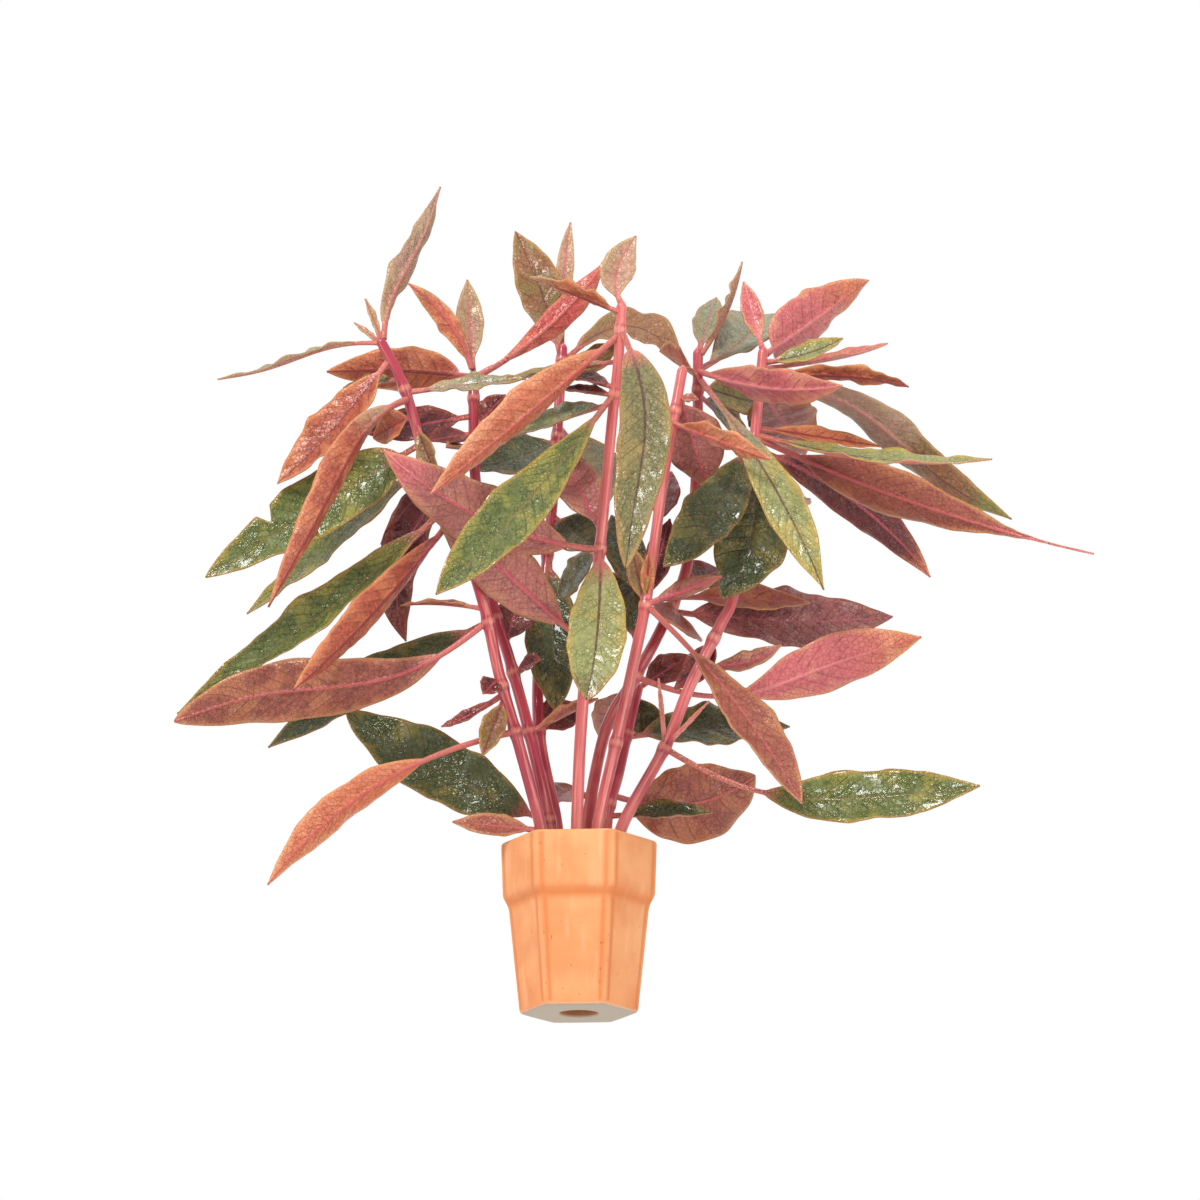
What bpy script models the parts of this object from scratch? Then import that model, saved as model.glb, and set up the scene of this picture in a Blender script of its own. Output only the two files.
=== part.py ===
"""Potted sessile joyweed: a bunch of eight cut stems with their leaves, held by a plug of
growing wool in a small six-sided clay pot.

Metres, +Z up, and the bunch is seen from -Y. The origin is on the surface that the pot stands on,
below the middle of the whole plant's width and depth. Lengths and places below are in millimetres,
counted from the centre of the pot's base, and `placed` brings them to the part's frame.
"""
import math

import bmesh
import bpy
import numpy as np
from mathutils import Vector

MM = 0.001
GAP = 0.35
WELD = 0.00001

# Where the part's origin lies, from the centre of the pot's base
ORIGIN = (15, 4, 0)

# Pot: corner radii of its six-sided sections, and heights above the base
POT_TURN = -4.0
POT_HEIGHT = 45.5
BASE_RADIUS = 15.6
BODY_TOP_RADIUS = 18.6
BODY_TOP_HEIGHT = 28.0
COLLAR_FOOT_RADIUS = 20.2
COLLAR_FOOT_HEIGHT = 31.0
COLLAR_INSIDE_HEIGHT = 34.0
RIM_RADIUS = 20.7
WALL = 3.2
WALL_AT_CORNER = WALL / math.cos(math.radians(30))
FLOOR = 4.5
HOLLOW_FOOT_FLARE = 0.4
DRAIN_DIAMETER = 10.0
EDGE_ROUNDING = 1.1

# Growing wool: its top stays a little below the rim, and the stems stand in blind sockets
WOOL_TOP = 42.5
WOOL_SLACK = 0.2
STEM_FOOT = 36.0
SOCKET_RADIUS = 2.05
SOCKET_OVERRUN = 2.0

# Stems: thickness at the foot and at the top, how much a node swells, and the widest step between
# two rings
STEM_RADIUS_FOOT = 1.60
STEM_RADIUS_TOP = 1.35
NODE_SWELL = 0.30
NODE_REACH = 2.2
RING_SPACING = 12

# Leaves: blade thickness, the stalk's width, the narrow end of the tip, how deep a small leaf's
# stalk starts inside its stem, that stalk's share of the length, and the rows and columns of faces
BLADE = 0.45
STALK_WIDTH = 1.5
TIP_WIDTH = 0.5
SMALL_ROOT = 0.4
SMALL_STALK = 0.12
LEAF_ROWS = 5
SMALL_LEAF_ROWS = 3
LEAF_COLUMNS = 2

# Where each stem passes, from its foot in the wool to its top
STEM_PATHS = {
    "a": [(-8.8, -3.5, 36), (-10, -4, 49), (-16.6, -5, 74), (-20.8, -6, 89), (-25, -6, 108),
          (-31.3, -6, 127), (-39.2, -6.5, 143), (-46, -7.5, 166), (-53, -8.5, 180)],
    "b": [(-6.6, 2, 36), (-7.4, 2.5, 50), (-13.1, 4, 76), (-18.1, 5, 95), (-23.4, 6, 114),
          (-27.6, 8, 147), (-28.1, 10, 176)],
    "c": [(-4.8, 7, 36), (-5.8, 8, 52), (-10.5, 13, 78), (-10.3, 20, 106), (-7, 28, 146),
          (-4.5, 34, 190)],
    "d": [(-0.6, -5, 36), (-0.5, -6, 48), (1.1, -9, 81), (5.5, -13, 121), (8.7, -16, 155),
          (10.3, -17.5, 170), (11.3, -19, 187)],
    "e": [(2.4, 2, 36), (2.1, 2.5, 50), (7.1, 6, 77), (15, 9, 92), (22.4, 12, 107),
          (28.7, 15, 124), (31.3, 18, 152), (31.8, 20, 185)],
    "f": [(4.6, -3.6, 36), (5, -4, 49), (9.7, -4, 71), (13.4, -4, 88), (17.4, -4, 108),
          (20.3, -3, 128), (22.4, -2, 144), (27.6, 2, 175)],
    "g": [(7.4, 4.6, 36), (7.4, 6, 53), (10.3, 12, 66), (12.9, 18, 79), (16, 26, 94)],
    "h": [(9.4, -2, 36), (11.3, -3, 49), (22.4, -3, 70), (29.2, -2, 87), (36.8, 0, 103),
          (41, 3, 114), (45.5, 8, 147), (49.2, 12, 183)],
}

# Heights of the swollen nodes on each stem
STEM_NODES = {
    "a": (74, 86, 103, 133, 148, 166),
    "b": (52, 76, 92, 107, 150, 168),
    "c": (78, 129, 163, 185),
    "d": (96, 121, 162, 179),
    "e": (92, 112, 173),
    "f": (71, 108, 162),
    "g": (57, 78),
    "h": (70, 100, 155, 173),
}

# Leaves of their own: name, stem, height of the stalk on it, place of the tip, how far the middle
# bows off the straight line, width, where the upper face looks, twist and roll in degrees, the
# stalk's share of the length, colour
LEAVES = [
    ("leaf_a1", "a", 179, (-37, -4, 222.5), (-1.5, 0, -1.5), 8.5, (-0.75, 0.6, 0.2), 0, 40, 0.08, "tan"),
    ("leaf_a2", "a", 179, (-95.5, -6, 169), (0.5, 0, 1), 7, (0, -0.2, 1), 0, 20, 0.12, "tan"),
    ("leaf_a3", "a", 174, (-79, -14, 138.5), (0.5, 0, -1.5), 14, (-0.3, -1, 0.5), 0, 30, 0.08, "rust"),
    ("leaf_a4", "a", 163, (-80, -38, 99.5), (2, -6, 9), 12, (-0.5, 0.7, 0.45), 0, 70, 0.12, "rust"),
    ("leaf_a5", "a", 165, (-14, -14, 167), (-0.5, 0, 0), 6.5, (0, -0.8, 0.6), 0, 30, 0.15, "sage"),
    ("leaf_a6", "a", 151, (-97.5, -15, 113), (0, 0, 0), 18.5, (0.1, -1, 0.35), 0, 20, 0.08, "green"),
    ("leaf_a7", "a", 146, (-88.5, 26, 113), (0, 0, -0.5), 12, (0, -0.8, 0.6), 0, 25, 0.08, "green"),
    ("leaf_a8", "a", 134, (-105.5, 3, 80.5), (0.5, 0, -3), 13, (0.2, -0.75, 0.65), 0, 35, 0.08, "green"),
    ("leaf_a9", "a", 131, (-73.5, -38, 77.5), (0, -2, -3), 12, (-0.5, 0.7, 0.5), 0, 60, 0.08, "rust"),
    ("leaf_a10", "a", 103, (-105.5, -10, 75.5), (0.5, 0, -4), 16.5, (0, 1, 0.35), 0, 25, 0.15, "rose"),
    ("leaf_a11", "a", 74, (-79.5, -36, 27), (-4.5, 0, 5.5), 11, (-0.3, 0.8, 0.5), 0, 45, 0.3, "rust"),
    ("leaf_b1", "b", 176, (-45.5, 2, 197.5), (2, 0, 1.5), 6.5, (-0.5, 0.6, 0.5), 0, 50, 0.08, "rust"),
    ("leaf_b2", "b", 174, (6.5, 8, 205), (2, 0, -2), 8.5, (0.4, 0.7, 0.5), 0, 50, 0.08, "pink"),
    ("leaf_b3", "b", 174, (-67, 3, 173.5), (0, 0, 1), 13, (0, 0.9, 0.5), 0, 30, 0.08, "rust"),
    ("leaf_b4", "b", 150, (-46, 20, 104), (-9, 0, 0.5), 13, (-0.3, -0.9, 0.2), 0, 30, 0.08, "maroon"),
    ("leaf_b5", "b", 107, (-82.5, 26, 76.5), (-1, 0, 1), 13.5, (0, -0.9, 0.4), 0, 25, 0.1, "dark"),
    ("leaf_b6", "b", 52, (-61.5, 14, 83.5), (-0.5, 0, -2), 19, (0, -0.95, 0.2), 0, 25, 0.08, "dark"),
    ("leaf_c1", "c", 187, (-17.5, 40, 223), (1, -2.5, -0.5), 13, (0, -1, 0.2), 0, 25, 0.06, "olive"),
    ("leaf_c2", "c", 185, (27, 22, 180.5), (2, 0, 10), 15, (0, -0.7, 0.7), 0, 25, 0.08, "bronze"),
    ("leaf_c3", "c", 162, (-29, 18, 150.5), (3, 0, -0.5), 19, (0, -0.8, 0.6), 0, 25, 0.08, "dark"),
    ("leaf_c4", "c", 129, (-6, 8, 82), (0, -3, -2.5), 15, (0, -1, 0.2), 0, 25, 0.08, "dark"),
    ("leaf_c5", "c", 166, (3.5, 58, 147.5), (2.5, 0, 0.5), 20, (0, 0.3, 1), 0, 25, 0.1, "sage"),
    ("leaf_d1", "d", 184, (-13, -24, 192), (0.5, 0, 0), 8, (0, 0.1, 1), 0, 30, 0.08, "rust"),
    ("leaf_d2", "d", 177.5, (-38.5, -36, 130), (1.5, 0, 1), 15, (-0.4, 0.6, 0.7), 0, 55, 0.1, "rust"),
    ("leaf_d3", "d", 179, (12, -50, 107), (5, -8, -4), 14, (0, -1, 0.35), 0, 20, 0.08, "olive"),
    ("leaf_d4", "d", 162, (-36.5, -50, 100), (0, -3, -3.5), 17, (-0.1, -1, 0.35), 0, 30, 0.08, "green"),
    ("leaf_d5", "d", 121, (-51, -26, 144.5), (-1.5, -1, -5.5), 17.5, (0.1, 0.9, 0.5), 0, 20, 0.12, "rose"),
    ("leaf_d6", "d", 96, (-39, -15, 134.5), (0, 0, -1), 16, (0, 0.9, 0.4), 0, 20, 0.15, "rose"),
    ("leaf_d7", "d", 121.5, (2, -38, 75), (1, -5, -3.5), 15.5, (0, -1, 0.35), 0, 20, 0.06, "lime"),
    ("leaf_e1", "e", 178, (69, -20, 163.5), (0, -5, -4), 11.5, (0, 0.8, 0.6), 0, 25, 0.06, "pink"),
    ("leaf_e2", "e", 176, (63.5, -28, 106.5), (2, -10, -1.5), 11.5, (-0.2, -0.9, 0.4), 30, 25, 0.08, "lime"),
    ("leaf_e3", "e", 183, (43.5, 14, 207), (1.5, 0, -0.5), 7, (-0.95, 0.05, 0.3), 0, 40, 0.06, "tan"),
    ("leaf_e4", "e", 179, (49, 48, 201.5), (3.5, 0, 0.5), 18, (0, -0.8, 0.6), 0, 15, 0.08, "sage"),
    ("leaf_e5", "e", 92, (90, 2, 101), (0.5, 0, -7), 15.5, (0, 0.85, 0.5), 0, 25, 0.33, "pink"),
    ("leaf_e6", "e", 111, (84, 40, 115.5), (0, 0, -2), 18.5, (0, -0.95, 0.3), 0, 25, 0.08, "maroon"),
    ("leaf_f1", "f", 108, (57, -44, 46.5), (2, -2, 1), 14, (0.4, -0.9, 0.3), 0, 25, 0.25, "brown"),
    ("leaf_f2", "f", 158.5, (50, -22, 143), (-1, -4, -1), 9, (0, 0.6, 0.8), 0, 35, 0.08, "rust"),
    ("leaf_g1", "g", 60, (46.5, 24, 68.5), (1.5, 0, -5), 22, (0, 0.9, 0.3), 0, 25, 0.08, "brown"),
    ("leaf_g2", "g", 78, (56, 32, 83.5), (-0.5, 0, 0.5), 17, (0, -0.8, 0.6), 0, 25, 0.08, "dark"),
    ("leaf_h1", "h", 181, (78, 34, 207.5), (1.5, 0, 1), 17, (-0.3, 0.8, 0.6), 0, 45, 0.06, "pink"),
    ("leaf_h2", "h", 174.5, (87, -4, 167.5), (3.5, 0, 1.5), 7, (0, 0.5, 0.85), 0, 30, 0.08, "rust"),
    ("leaf_h3", "h", 172, (116, 36, 141.5), (2, 0, 4), 12.5, (0.3, 0.7, 0.8), 0, 30, 0.1, "tan"),
    ("leaf_h4", "h", 158, (107.5, -28, 141.5), (1, 0, -3.5), 10, (0, -0.55, 0.85), 0, 30, 0.08, "lime"),
    ("leaf_h5", "h", 157, (135.5, -2, 122.5), (-1, 0, -2.5), 15.5, (0, 0.7, 0.6), 0, 30, 0.1, "rust"),
    ("leaf_h6", "h", 154, (94, 36, 125.5), (2.5, 0, 3.5), 11.5, (0, 0.8, 0.5), 0, 25, 0.08, "maroon"),
    ("leaf_h7", "h", 171, (61, 46, 162), (0, 0, 0), 19, (0, 0.7, 0.7), 0, 25, 0.08, "rose"),
    ("leaf_h8", "h", 156, (22, -12, 116.5), (1, -5, -4), 16, (-0.1, -1, 0.3), 0, 20, 0.08, "dark"),
    ("leaf_h9", "h", 149, (39, -4, 109), (3, -3, -1), 21, (0.1, -1, 0.2), 0, 20, 0.08, "dark"),
    ("leaf_h10", "h", 70, (103.5, -26, 55), (1, 0, -8.5), 16, (0, -0.95, 0.3), 0, 20, 0.3, "green"),
]

# How far out a blade is widest, and how full it is, where it isn't the usual lance shape
PLAIN_BLADE = (0.9, 0.85)
BLADE_SHAPES = {
    "leaf_a6": (0.68, 0.75),
    "leaf_a10": (1.1, 0.7),
    "leaf_b2": (1.4, 1),
    "leaf_b3": (0.72, 0.8),
    "leaf_b6": (0.95, 0.72),
    "leaf_d3": (0.72, 0.68),
    "leaf_d4": (1.2, 0.85),
    "leaf_d7": (1.02, 0.7),
    "leaf_e2": (1.35, 1.1),
    "leaf_e4": (1.5, 0.6),
    "leaf_e5": (1.1, 0.9),
    "leaf_f1": (1.1, 0.85),
    "leaf_g1": (1, 0.7),
    "leaf_h1": (0.55, 0.75),
    "leaf_h5": (0.6, 2.6),
}

# How far a leaf sways to either side of its bow, like an S
SWAYS = {
    "leaf_a1": -1,
    "leaf_a2": 1,
    "leaf_a4": 1,
    "leaf_a10": -3,
    "leaf_d3": -1.5,
    "leaf_e5": 2.5,
    "leaf_h3": -3,
    "leaf_h10": 1.5,
}

# Buds, scales and small leaves, which stay one piece with their stem: stem, height, place of the
# tip, width, where the upper face looks, roll in degrees, and how far some bow
SMALL_LEAVES = [
    ("a", 179, (-56.5, -10, 190), 2.5, (0.5, -0.8, 0), 30),
    ("a", 178.5, (-59.5, -6, 184.5), 2, (0.5, -0.8, 0), 30),
    ("a", 156, (-37, -16, 139), 6, (-0.5, -0.8, 0), 40),
    ("a", 107, (-47, 4, 110), 5, (0, -0.3, 1), 40, (-0.5, 0, 1)),
    ("a", 88, (-25, -10, 83), 6.5, (0, -1, 0.2), 30),
    ("a", 84, (-36, -2, 76), 4, (0, -0.8, 0.5), 40, (-1, 0, -1.5)),
    ("a", 83, (-25, -14, 65.5), 7, (0, -1, 0.2), 30),
    ("a", 169, (-62.5, 1, 168.5), 6, (0, -0.8, 0.5), 30),
    ("a", 159, (-54.5, 2, 155), 10, (-0.3, -0.9, 0.2), 30),
    ("a", 48, (-33, -2, 50.5), 7, (0, -0.9, 0.3), 25),
    ("b", 176, (-30, 14, 202), 7.5, (0, -1, 0), 20),
    ("b", 163, (-56.5, 3, 156.5), 11, (0, -1, 0.3), 25),
    ("b", 158, (-40, -1, 153.5), 8, (0, -0.8, 0.5), 30),
    ("b", 154, (-35, -4, 151), 6, (0, -0.5, 0.8), 50),
    ("b", 92, (-10, -2, 94), 8, (0, -0.8, 0.5), 30),
    ("b", 76, (5, 0, 84), 7, (0, -0.6, 0.8), 40),
    ("b", 150, (-53, 26, 132), 12, (0, -1, 0.2), 25),
    ("b", 160, (-19.5, 6, 168), 8, (0, -0.8, 0.5), 30),
    ("b", 100, (-16, 12, 113.5), 12, (0, -1, 0.1), 30),
    ("c", 189.5, (-2.5, 38, 225), 5, (0, -1, 0), 25, (-0.5, 0, 1.5)),
    ("c", 140, (6, 14, 127), 15, (0, -1, 0.3), 25),
    ("c", 58, (-1, 27, 66), 12, (0, -1, 0.3), 25),
    ("c", 178, (11.5, 26, 187.5), 10, (0, -0.8, 0.5), 25),
    ("c", 78, (-1.5, 18, 87), 11, (0, -1, 0.2), 25),
    ("d", 186.5, (15, -14, 206), 9.5, (0, -1, 0), 25, (-3, 0, -1)),
    ("d", 171, (-20, -3, 169.5), 11, (0, -0.5, 0.85), 25),
    ("d", 164, (-5, -6, 171), 7, (0, -0.6, 0.8), 30),
    ("d", 162, (-5, -8, 166), 6, (0, -0.6, 0.8), 30),
    ("d", 160, (-22, 6, 155.5), 14, (0, -0.7, 0.7), 25),
    ("d", 121, (-6, 8, 113), 10, (0, -1, 0.3), 25),
    ("d", 126, (-6, 2, 152.5), 13, (0, -0.9, 0.3), 25),
    ("e", 184, (37, 37, 203.5), 8.5, (0, -0.8, 0.6), 30),
    ("e", 177, (21.5, 6, 180), 13, (0, -0.8, 0.5), 40),
    ("e", 172, (47, 36, 161), 15, (0, -0.8, 0.6), 25),
    ("e", 115, (61.5, 24, 115.5), 11, (0, -0.8, 0.6), 25),
    ("e", 118, (38, 30, 126), 12, (0, -1, 0.3), 25),
    ("e", 174, (50.5, 32, 171.5), 12, (0, -0.9, 0.3), 25),
    ("f", 166, (31.5, -4, 164), 3, (0, -1, 0.2), 30),
    ("f", 167, (34, 12, 144.5), 17, (0.2, 0.9, 0), 25),
    ("f", 109, (18.4, -10, 121), 4, (0, -1, 0), 30),
    ("f", 108.5, (37.5, -10, 114.5), 6, (0, 0.8, 0.5), 60),
    ("f", 108, (13.7, -10, 123), 6, (0, -1, 0), 30),
    ("f", 109, (8.5, 12, 136.5), 11, (0, -1, 0.2), 25),
    ("f", 108, (32.5, 14, 103), 15, (0, -0.8, 0.6), 25),
    ("f", 130, (24.5, 18, 150), 8, (0, -1, 0.2), 25),
    ("f", 109, (24, 8, 134.5), 8, (0, -1, 0.2), 25),
    ("f", 98, (8.5, 12, 121), 10, (0, -1, 0.2), 25),
    ("g", 93, (5, 44, 84), 13, (0, 0.2, 1), 25),
    ("g", 91, (16, 26, 80), 12, (0, -1, 0.3), 25),
    ("g", 54, (35, 3, 54), 9, (0, -0.7, 0.7), 45),
    ("g", 62, (5, 24, 61.5), 12, (0, -1, 0.3), 25),
    ("g", 93, (29.5, 32, 103), 9, (0, -1, 0.2), 25),
    ("h", 182.5, (44, 16, 202), 6, (0, -1, 0), 30),
    ("h", 177, (82.5, 20, 186), 8, (0, -0.4, 0.9), 30, (3.5, 0, -0.5)),
    ("h", 178.5, (70, 4, 183), 8, (0, -0.8, 0.5), 30, (1, 0, -1)),
    ("h", 147, (61, 40, 146.5), 15, (0, -0.8, 0.6), 25),
    ("h", 101, (25, 6, 88), 8, (0, -1, 0.2), 30, (1.5, 0, -0.5)),
    ("h", 92.5, (53, -6, 97), 7, (0, -0.8, 0.5), 30, (1, 0, -2)),
    ("h", 71, (20.8, -6, 88), 1.2, (0, -1, 0), 10),
    ("h", 71, (34, -8, 81.5), 1.2, (0, -1, 0), 10),
    ("h", 160, (80.5, 24, 158.5), 7, (0, -0.8, 0.5), 30),
]

COLOURS = {
    "clay": (0.95, 0.47, 0.21),
    "wool": (0.30, 0.27, 0.16),
    "stem": (0.60, 0.12, 0.14),
    "tan": (0.45, 0.27, 0.17),
    "rust": (0.48, 0.15, 0.06),
    "rose": (0.38, 0.13, 0.12),
    "pink": (0.55, 0.17, 0.19),
    "maroon": (0.15, 0.04, 0.05),
    "brown": (0.28, 0.11, 0.06),
    "bronze": (0.25, 0.15, 0.06),
    "olive": (0.24, 0.21, 0.08),
    "green": (0.17, 0.19, 0.07),
    "lime": (0.35, 0.34, 0.12),
    "sage": (0.30, 0.32, 0.20),
    "dark": (0.07, 0.09, 0.04),
}


def clear_scene():
    """Remove every object that the start-up scene brought along."""
    for obj in list(bpy.data.objects):
        bpy.data.objects.remove(obj, do_unlink=True)


def new_collection(name):
    collection = bpy.data.collections.new(name)
    bpy.context.scene.collection.children.link(collection)
    return collection


def paint(name, roughness):
    """A plain material in one of the colours above."""
    material = bpy.data.materials.new(name)
    material.use_nodes = True
    shader = material.node_tree.nodes["Principled BSDF"]
    shader.inputs["Base Color"].default_value = (*COLOURS[name], 1)
    shader.inputs["Roughness"].default_value = roughness
    shader.inputs["Metallic"].default_value = 0
    return material


def add_object(name, mesh, collection, material=None):
    obj = bpy.data.objects.new(name, mesh)
    collection.objects.link(obj)
    if material:
        mesh.materials.append(material)
    return obj


def make_cutter(obj):
    obj.hide_render = True
    obj.display_type = "WIRE"


def unit(vector):
    return vector / np.linalg.norm(vector, axis=-1, keepdims=True)


def placed(points):
    """From millimetres off the pot's foot to metres off the part's origin."""
    return (np.array(points, dtype=float) - ORIGIN) * MM


def smooth_path(points, steps=10):
    """A Catmull-Rom curve through the points, with its ends drawn out straight."""
    rows = np.array(points, dtype=float)
    rows = np.vstack([2 * rows[0] - rows[1], rows, 2 * rows[-1] - rows[-2]])
    p0, p1, p2, p3 = rows[:-3], rows[1:-2], rows[2:-1], rows[3:]
    t = np.linspace(0, 1, steps, endpoint=False)[None, :, None]
    p0, p1, p2, p3 = (p[:, None, :] for p in (p0, p1, p2, p3))
    curve = 0.5 * (2 * p1 + (p2 - p0) * t + (2 * p0 - 5 * p1 + 4 * p2 - p3) * t ** 2
                   + (3 * p1 - p0 - 3 * p2 + p3) * t ** 3)
    return np.vstack([curve.reshape(-1, 3), rows[-2]])


STEM_CURVES = {letter: smooth_path(points) for letter, points in STEM_PATHS.items()}


def stem_point(letter, height):
    """The stem's axis at a height above the pot's base; it rises all the way."""
    curve = STEM_CURVES[letter]
    x = np.interp(height, curve[:, 2], curve[:, 0])
    y = np.interp(height, curve[:, 2], curve[:, 1])
    return np.array([x, y, height])


def stem_radius(letter, height):
    """Taper from foot to top, with a smooth swelling at each node."""
    top = STEM_PATHS[letter][-1][2]
    share = (height - STEM_FOOT) / (top - STEM_FOOT)
    radius = STEM_RADIUS_FOOT + (STEM_RADIUS_TOP - STEM_RADIUS_FOOT) * share
    swell = 0.0
    for node in STEM_NODES[letter]:
        swell = max(swell, 1 - abs(height - node) / NODE_REACH)
    return radius + NODE_SWELL * swell


def stem_heights(letter):
    """Heights for the tube's rings: close together at a node, wide between two."""
    top = STEM_PATHS[letter][-1][2]
    heights = [STEM_FOOT, top]
    for node in STEM_NODES[letter]:
        heights += [node - NODE_REACH, node, node + NODE_REACH]
    heights = sorted(heights)
    between = []
    for low, high in zip(heights, heights[1:]):
        count = int((high - low) // RING_SPACING)
        between += list(np.linspace(low, high, count + 2)[1:-1])
    return sorted(heights + between)


def leaf_root(letter, height, tip, bow, clearance):
    """The stalk's start, off the stem's axis towards the leaf, square to the stem."""
    axis_point = stem_point(letter, height)
    along = unit(stem_point(letter, height) - stem_point(letter, height - 4))
    lead = (np.array(tip) - axis_point) / 2 + 2 * np.array(bow)
    lead = lead - along * (lead @ along)
    return axis_point + unit(lead) * clearance


def leaf_midrib(root, tip, bow, sway, u):
    """A parabola from root to tip with one wave of a sine across it, and its direction."""
    root, tip, bow = np.array(root, float), np.array(tip, float), np.array(bow, float)
    w = u[:, None]
    middle = (root + tip) / 2 + 2 * bow
    points = (1 - w) ** 2 * root + 2 * w * (1 - w) * middle + w ** 2 * tip
    slope = 2 * (1 - w) * (middle - root) + 2 * w * (tip - middle)
    across = sway * unit(np.cross((0, 1, 0), tip - root))
    points = points + across * np.sin(2 * np.pi * w)
    return points, unit(slope + across * 2 * np.pi * np.cos(2 * np.pi * w))


def leaf_surface(name, root, tip, bow, width, face, twist, roll, stalk, rows):
    """Grid of points on a leaf: each row across the midrib is an arc that bends by the roll
    angle towards the upper face."""
    u = np.linspace(0, 1, rows + 1) ** 0.9
    v = np.linspace(-1, 1, LEAF_COLUMNS + 1)
    midrib, along = leaf_midrib(root, tip, bow, SWAYS.get(name, 0), u)
    face = np.array(face, float)
    normal = unit(face - along * (along @ face)[:, None])
    side = np.cross(along, normal)
    angle = np.radians(twist) * (u - 0.5)
    turned = normal * np.cos(angle)[:, None] + side * np.sin(angle)[:, None]
    side = np.cross(along, turned)
    blade = np.clip((u - stalk) / (1 - stalk), 0, 1)
    lean, taper = BLADE_SHAPES.get(name, PLAIN_BLADE)
    half = width / 2 * np.sin(np.pi * blade ** lean) ** taper
    narrow = STALK_WIDTH / 2 + (TIP_WIDTH - STALK_WIDTH) / 2 * u
    half = np.maximum(half, np.minimum(narrow, width / 2))
    bend = np.radians(roll) * v[None, :]
    radius = (half / np.radians(roll))[:, None]
    across = (radius * np.sin(bend))[..., None] * side[:, None, :]
    lift = (radius * (1 - np.cos(bend)))[..., None] * turned[:, None, :]
    return midrib[:, None, :] + across + lift


def grid_mesh(name, points):
    """A sheet of four-sided faces over a grid of points given in millimetres."""
    rows, columns = points.shape[:2]
    index = np.arange(rows * columns).reshape(rows, columns)
    faces = np.stack([index[:-1, :-1], index[1:, :-1], index[1:, 1:], index[:-1, 1:]], axis=-1)
    mesh = bpy.data.meshes.new(name)
    mesh.from_pydata(placed(points).reshape(-1, 3).tolist(), [], faces.reshape(-1, 4).tolist())
    mesh.shade_smooth()
    return mesh


def make_blade(name, points, collection, material=None):
    obj = add_object(name, grid_mesh(name, points), collection, material)
    shell = obj.modifiers.new("blade", "SOLIDIFY")
    shell.thickness = BLADE * MM
    shell.offset = 0
    return obj


def make_leaf(row, collection, materials):
    name, letter, height, tip, bow, width, face, twist, roll, stalk, colour = row
    clearance = stem_radius(letter, height) + GAP + BLADE / 2
    root = leaf_root(letter, height, tip, bow, clearance)
    points = leaf_surface(name, root, tip, bow, width, face, twist, roll, stalk, LEAF_ROWS)
    return make_blade(name, points, collection, materials[colour])


def make_small_leaf(number, row, collection):
    """A small leaf whose stalk starts inside its stem, to be joined with it."""
    letter, height, tip, width, face, roll, *bows = row
    bow = bows[0] if bows else (0, 0, 0)
    name = f"small_{letter}_{number}"
    root = leaf_root(letter, height, tip, bow, SMALL_ROOT)
    points = leaf_surface(name, root, tip, bow, width, face, 0, roll, SMALL_STALK, SMALL_LEAF_ROWS)
    obj = make_blade(name, points, collection)
    make_cutter(obj)
    return obj


def tube_mesh(name, path, radii):
    """A round tube of six sides with closed ends, as a mesh."""
    curve = bpy.data.curves.new(name, "CURVE")
    curve.dimensions = "3D"
    curve.bevel_depth = MM
    curve.bevel_resolution = 1
    curve.use_fill_caps = True
    spline = curve.splines.new("POLY")
    spline.points.add(len(path) - 1)
    for point, place, radius in zip(spline.points, placed(path), radii):
        point.co = (*place, 1)
        point.radius = radius
    obj = bpy.data.objects.new(name, curve)
    bpy.context.scene.collection.objects.link(obj)
    bpy.context.view_layer.update()
    mesh = bpy.data.meshes.new_from_object(obj.evaluated_get(bpy.context.evaluated_depsgraph_get()))
    bpy.data.objects.remove(obj, do_unlink=True)
    welded = bmesh.new()
    welded.from_mesh(mesh)
    bmesh.ops.remove_doubles(welded, verts=welded.verts, dist=WELD)
    bmesh.ops.recalc_face_normals(welded, faces=welded.faces)
    welded.to_mesh(mesh)
    welded.free()
    mesh.shade_smooth()
    return mesh


def join_to(obj, tool, operation):
    cut = obj.modifiers.new(tool.name, "BOOLEAN")
    cut.operation = operation
    cut.solver = "EXACT"
    cut.object = tool


def make_stem(letter, collection, cutters, material):
    heights = stem_heights(letter)
    path = np.array([stem_point(letter, height) for height in heights])
    radii = [stem_radius(letter, height) for height in heights]
    name = f"stem_{letter}"
    obj = add_object(name, tube_mesh(name, path, radii), collection, material)
    mine = [row for row in SMALL_LEAVES if row[0] == letter]
    for number, row in enumerate(mine, 1):
        join_to(obj, make_small_leaf(number, row, cutters), "UNION")
    return obj


def six_sided(name, profile, collection, material=None):
    """Carry a profile of (radius, height) round the Z axis in six straight steps."""
    mesh = bpy.data.meshes.new(name)
    points = [(radius * MM, 0, height * MM) for radius, height in profile]
    edges = [(i, i + 1) for i in range(len(points) - 1)]
    mesh.from_pydata(points, edges, [])
    obj = add_object(name, mesh, collection, material)
    obj.location = placed((0, 0, 0))
    obj.rotation_euler.z = math.radians(POT_TURN)
    screw = obj.modifiers.new("six sides", "SCREW")
    screw.steps = 6
    screw.render_steps = 6
    screw.use_merge_vertices = True
    screw.merge_threshold = WELD
    screw.use_smooth_shade = False
    return obj


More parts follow.
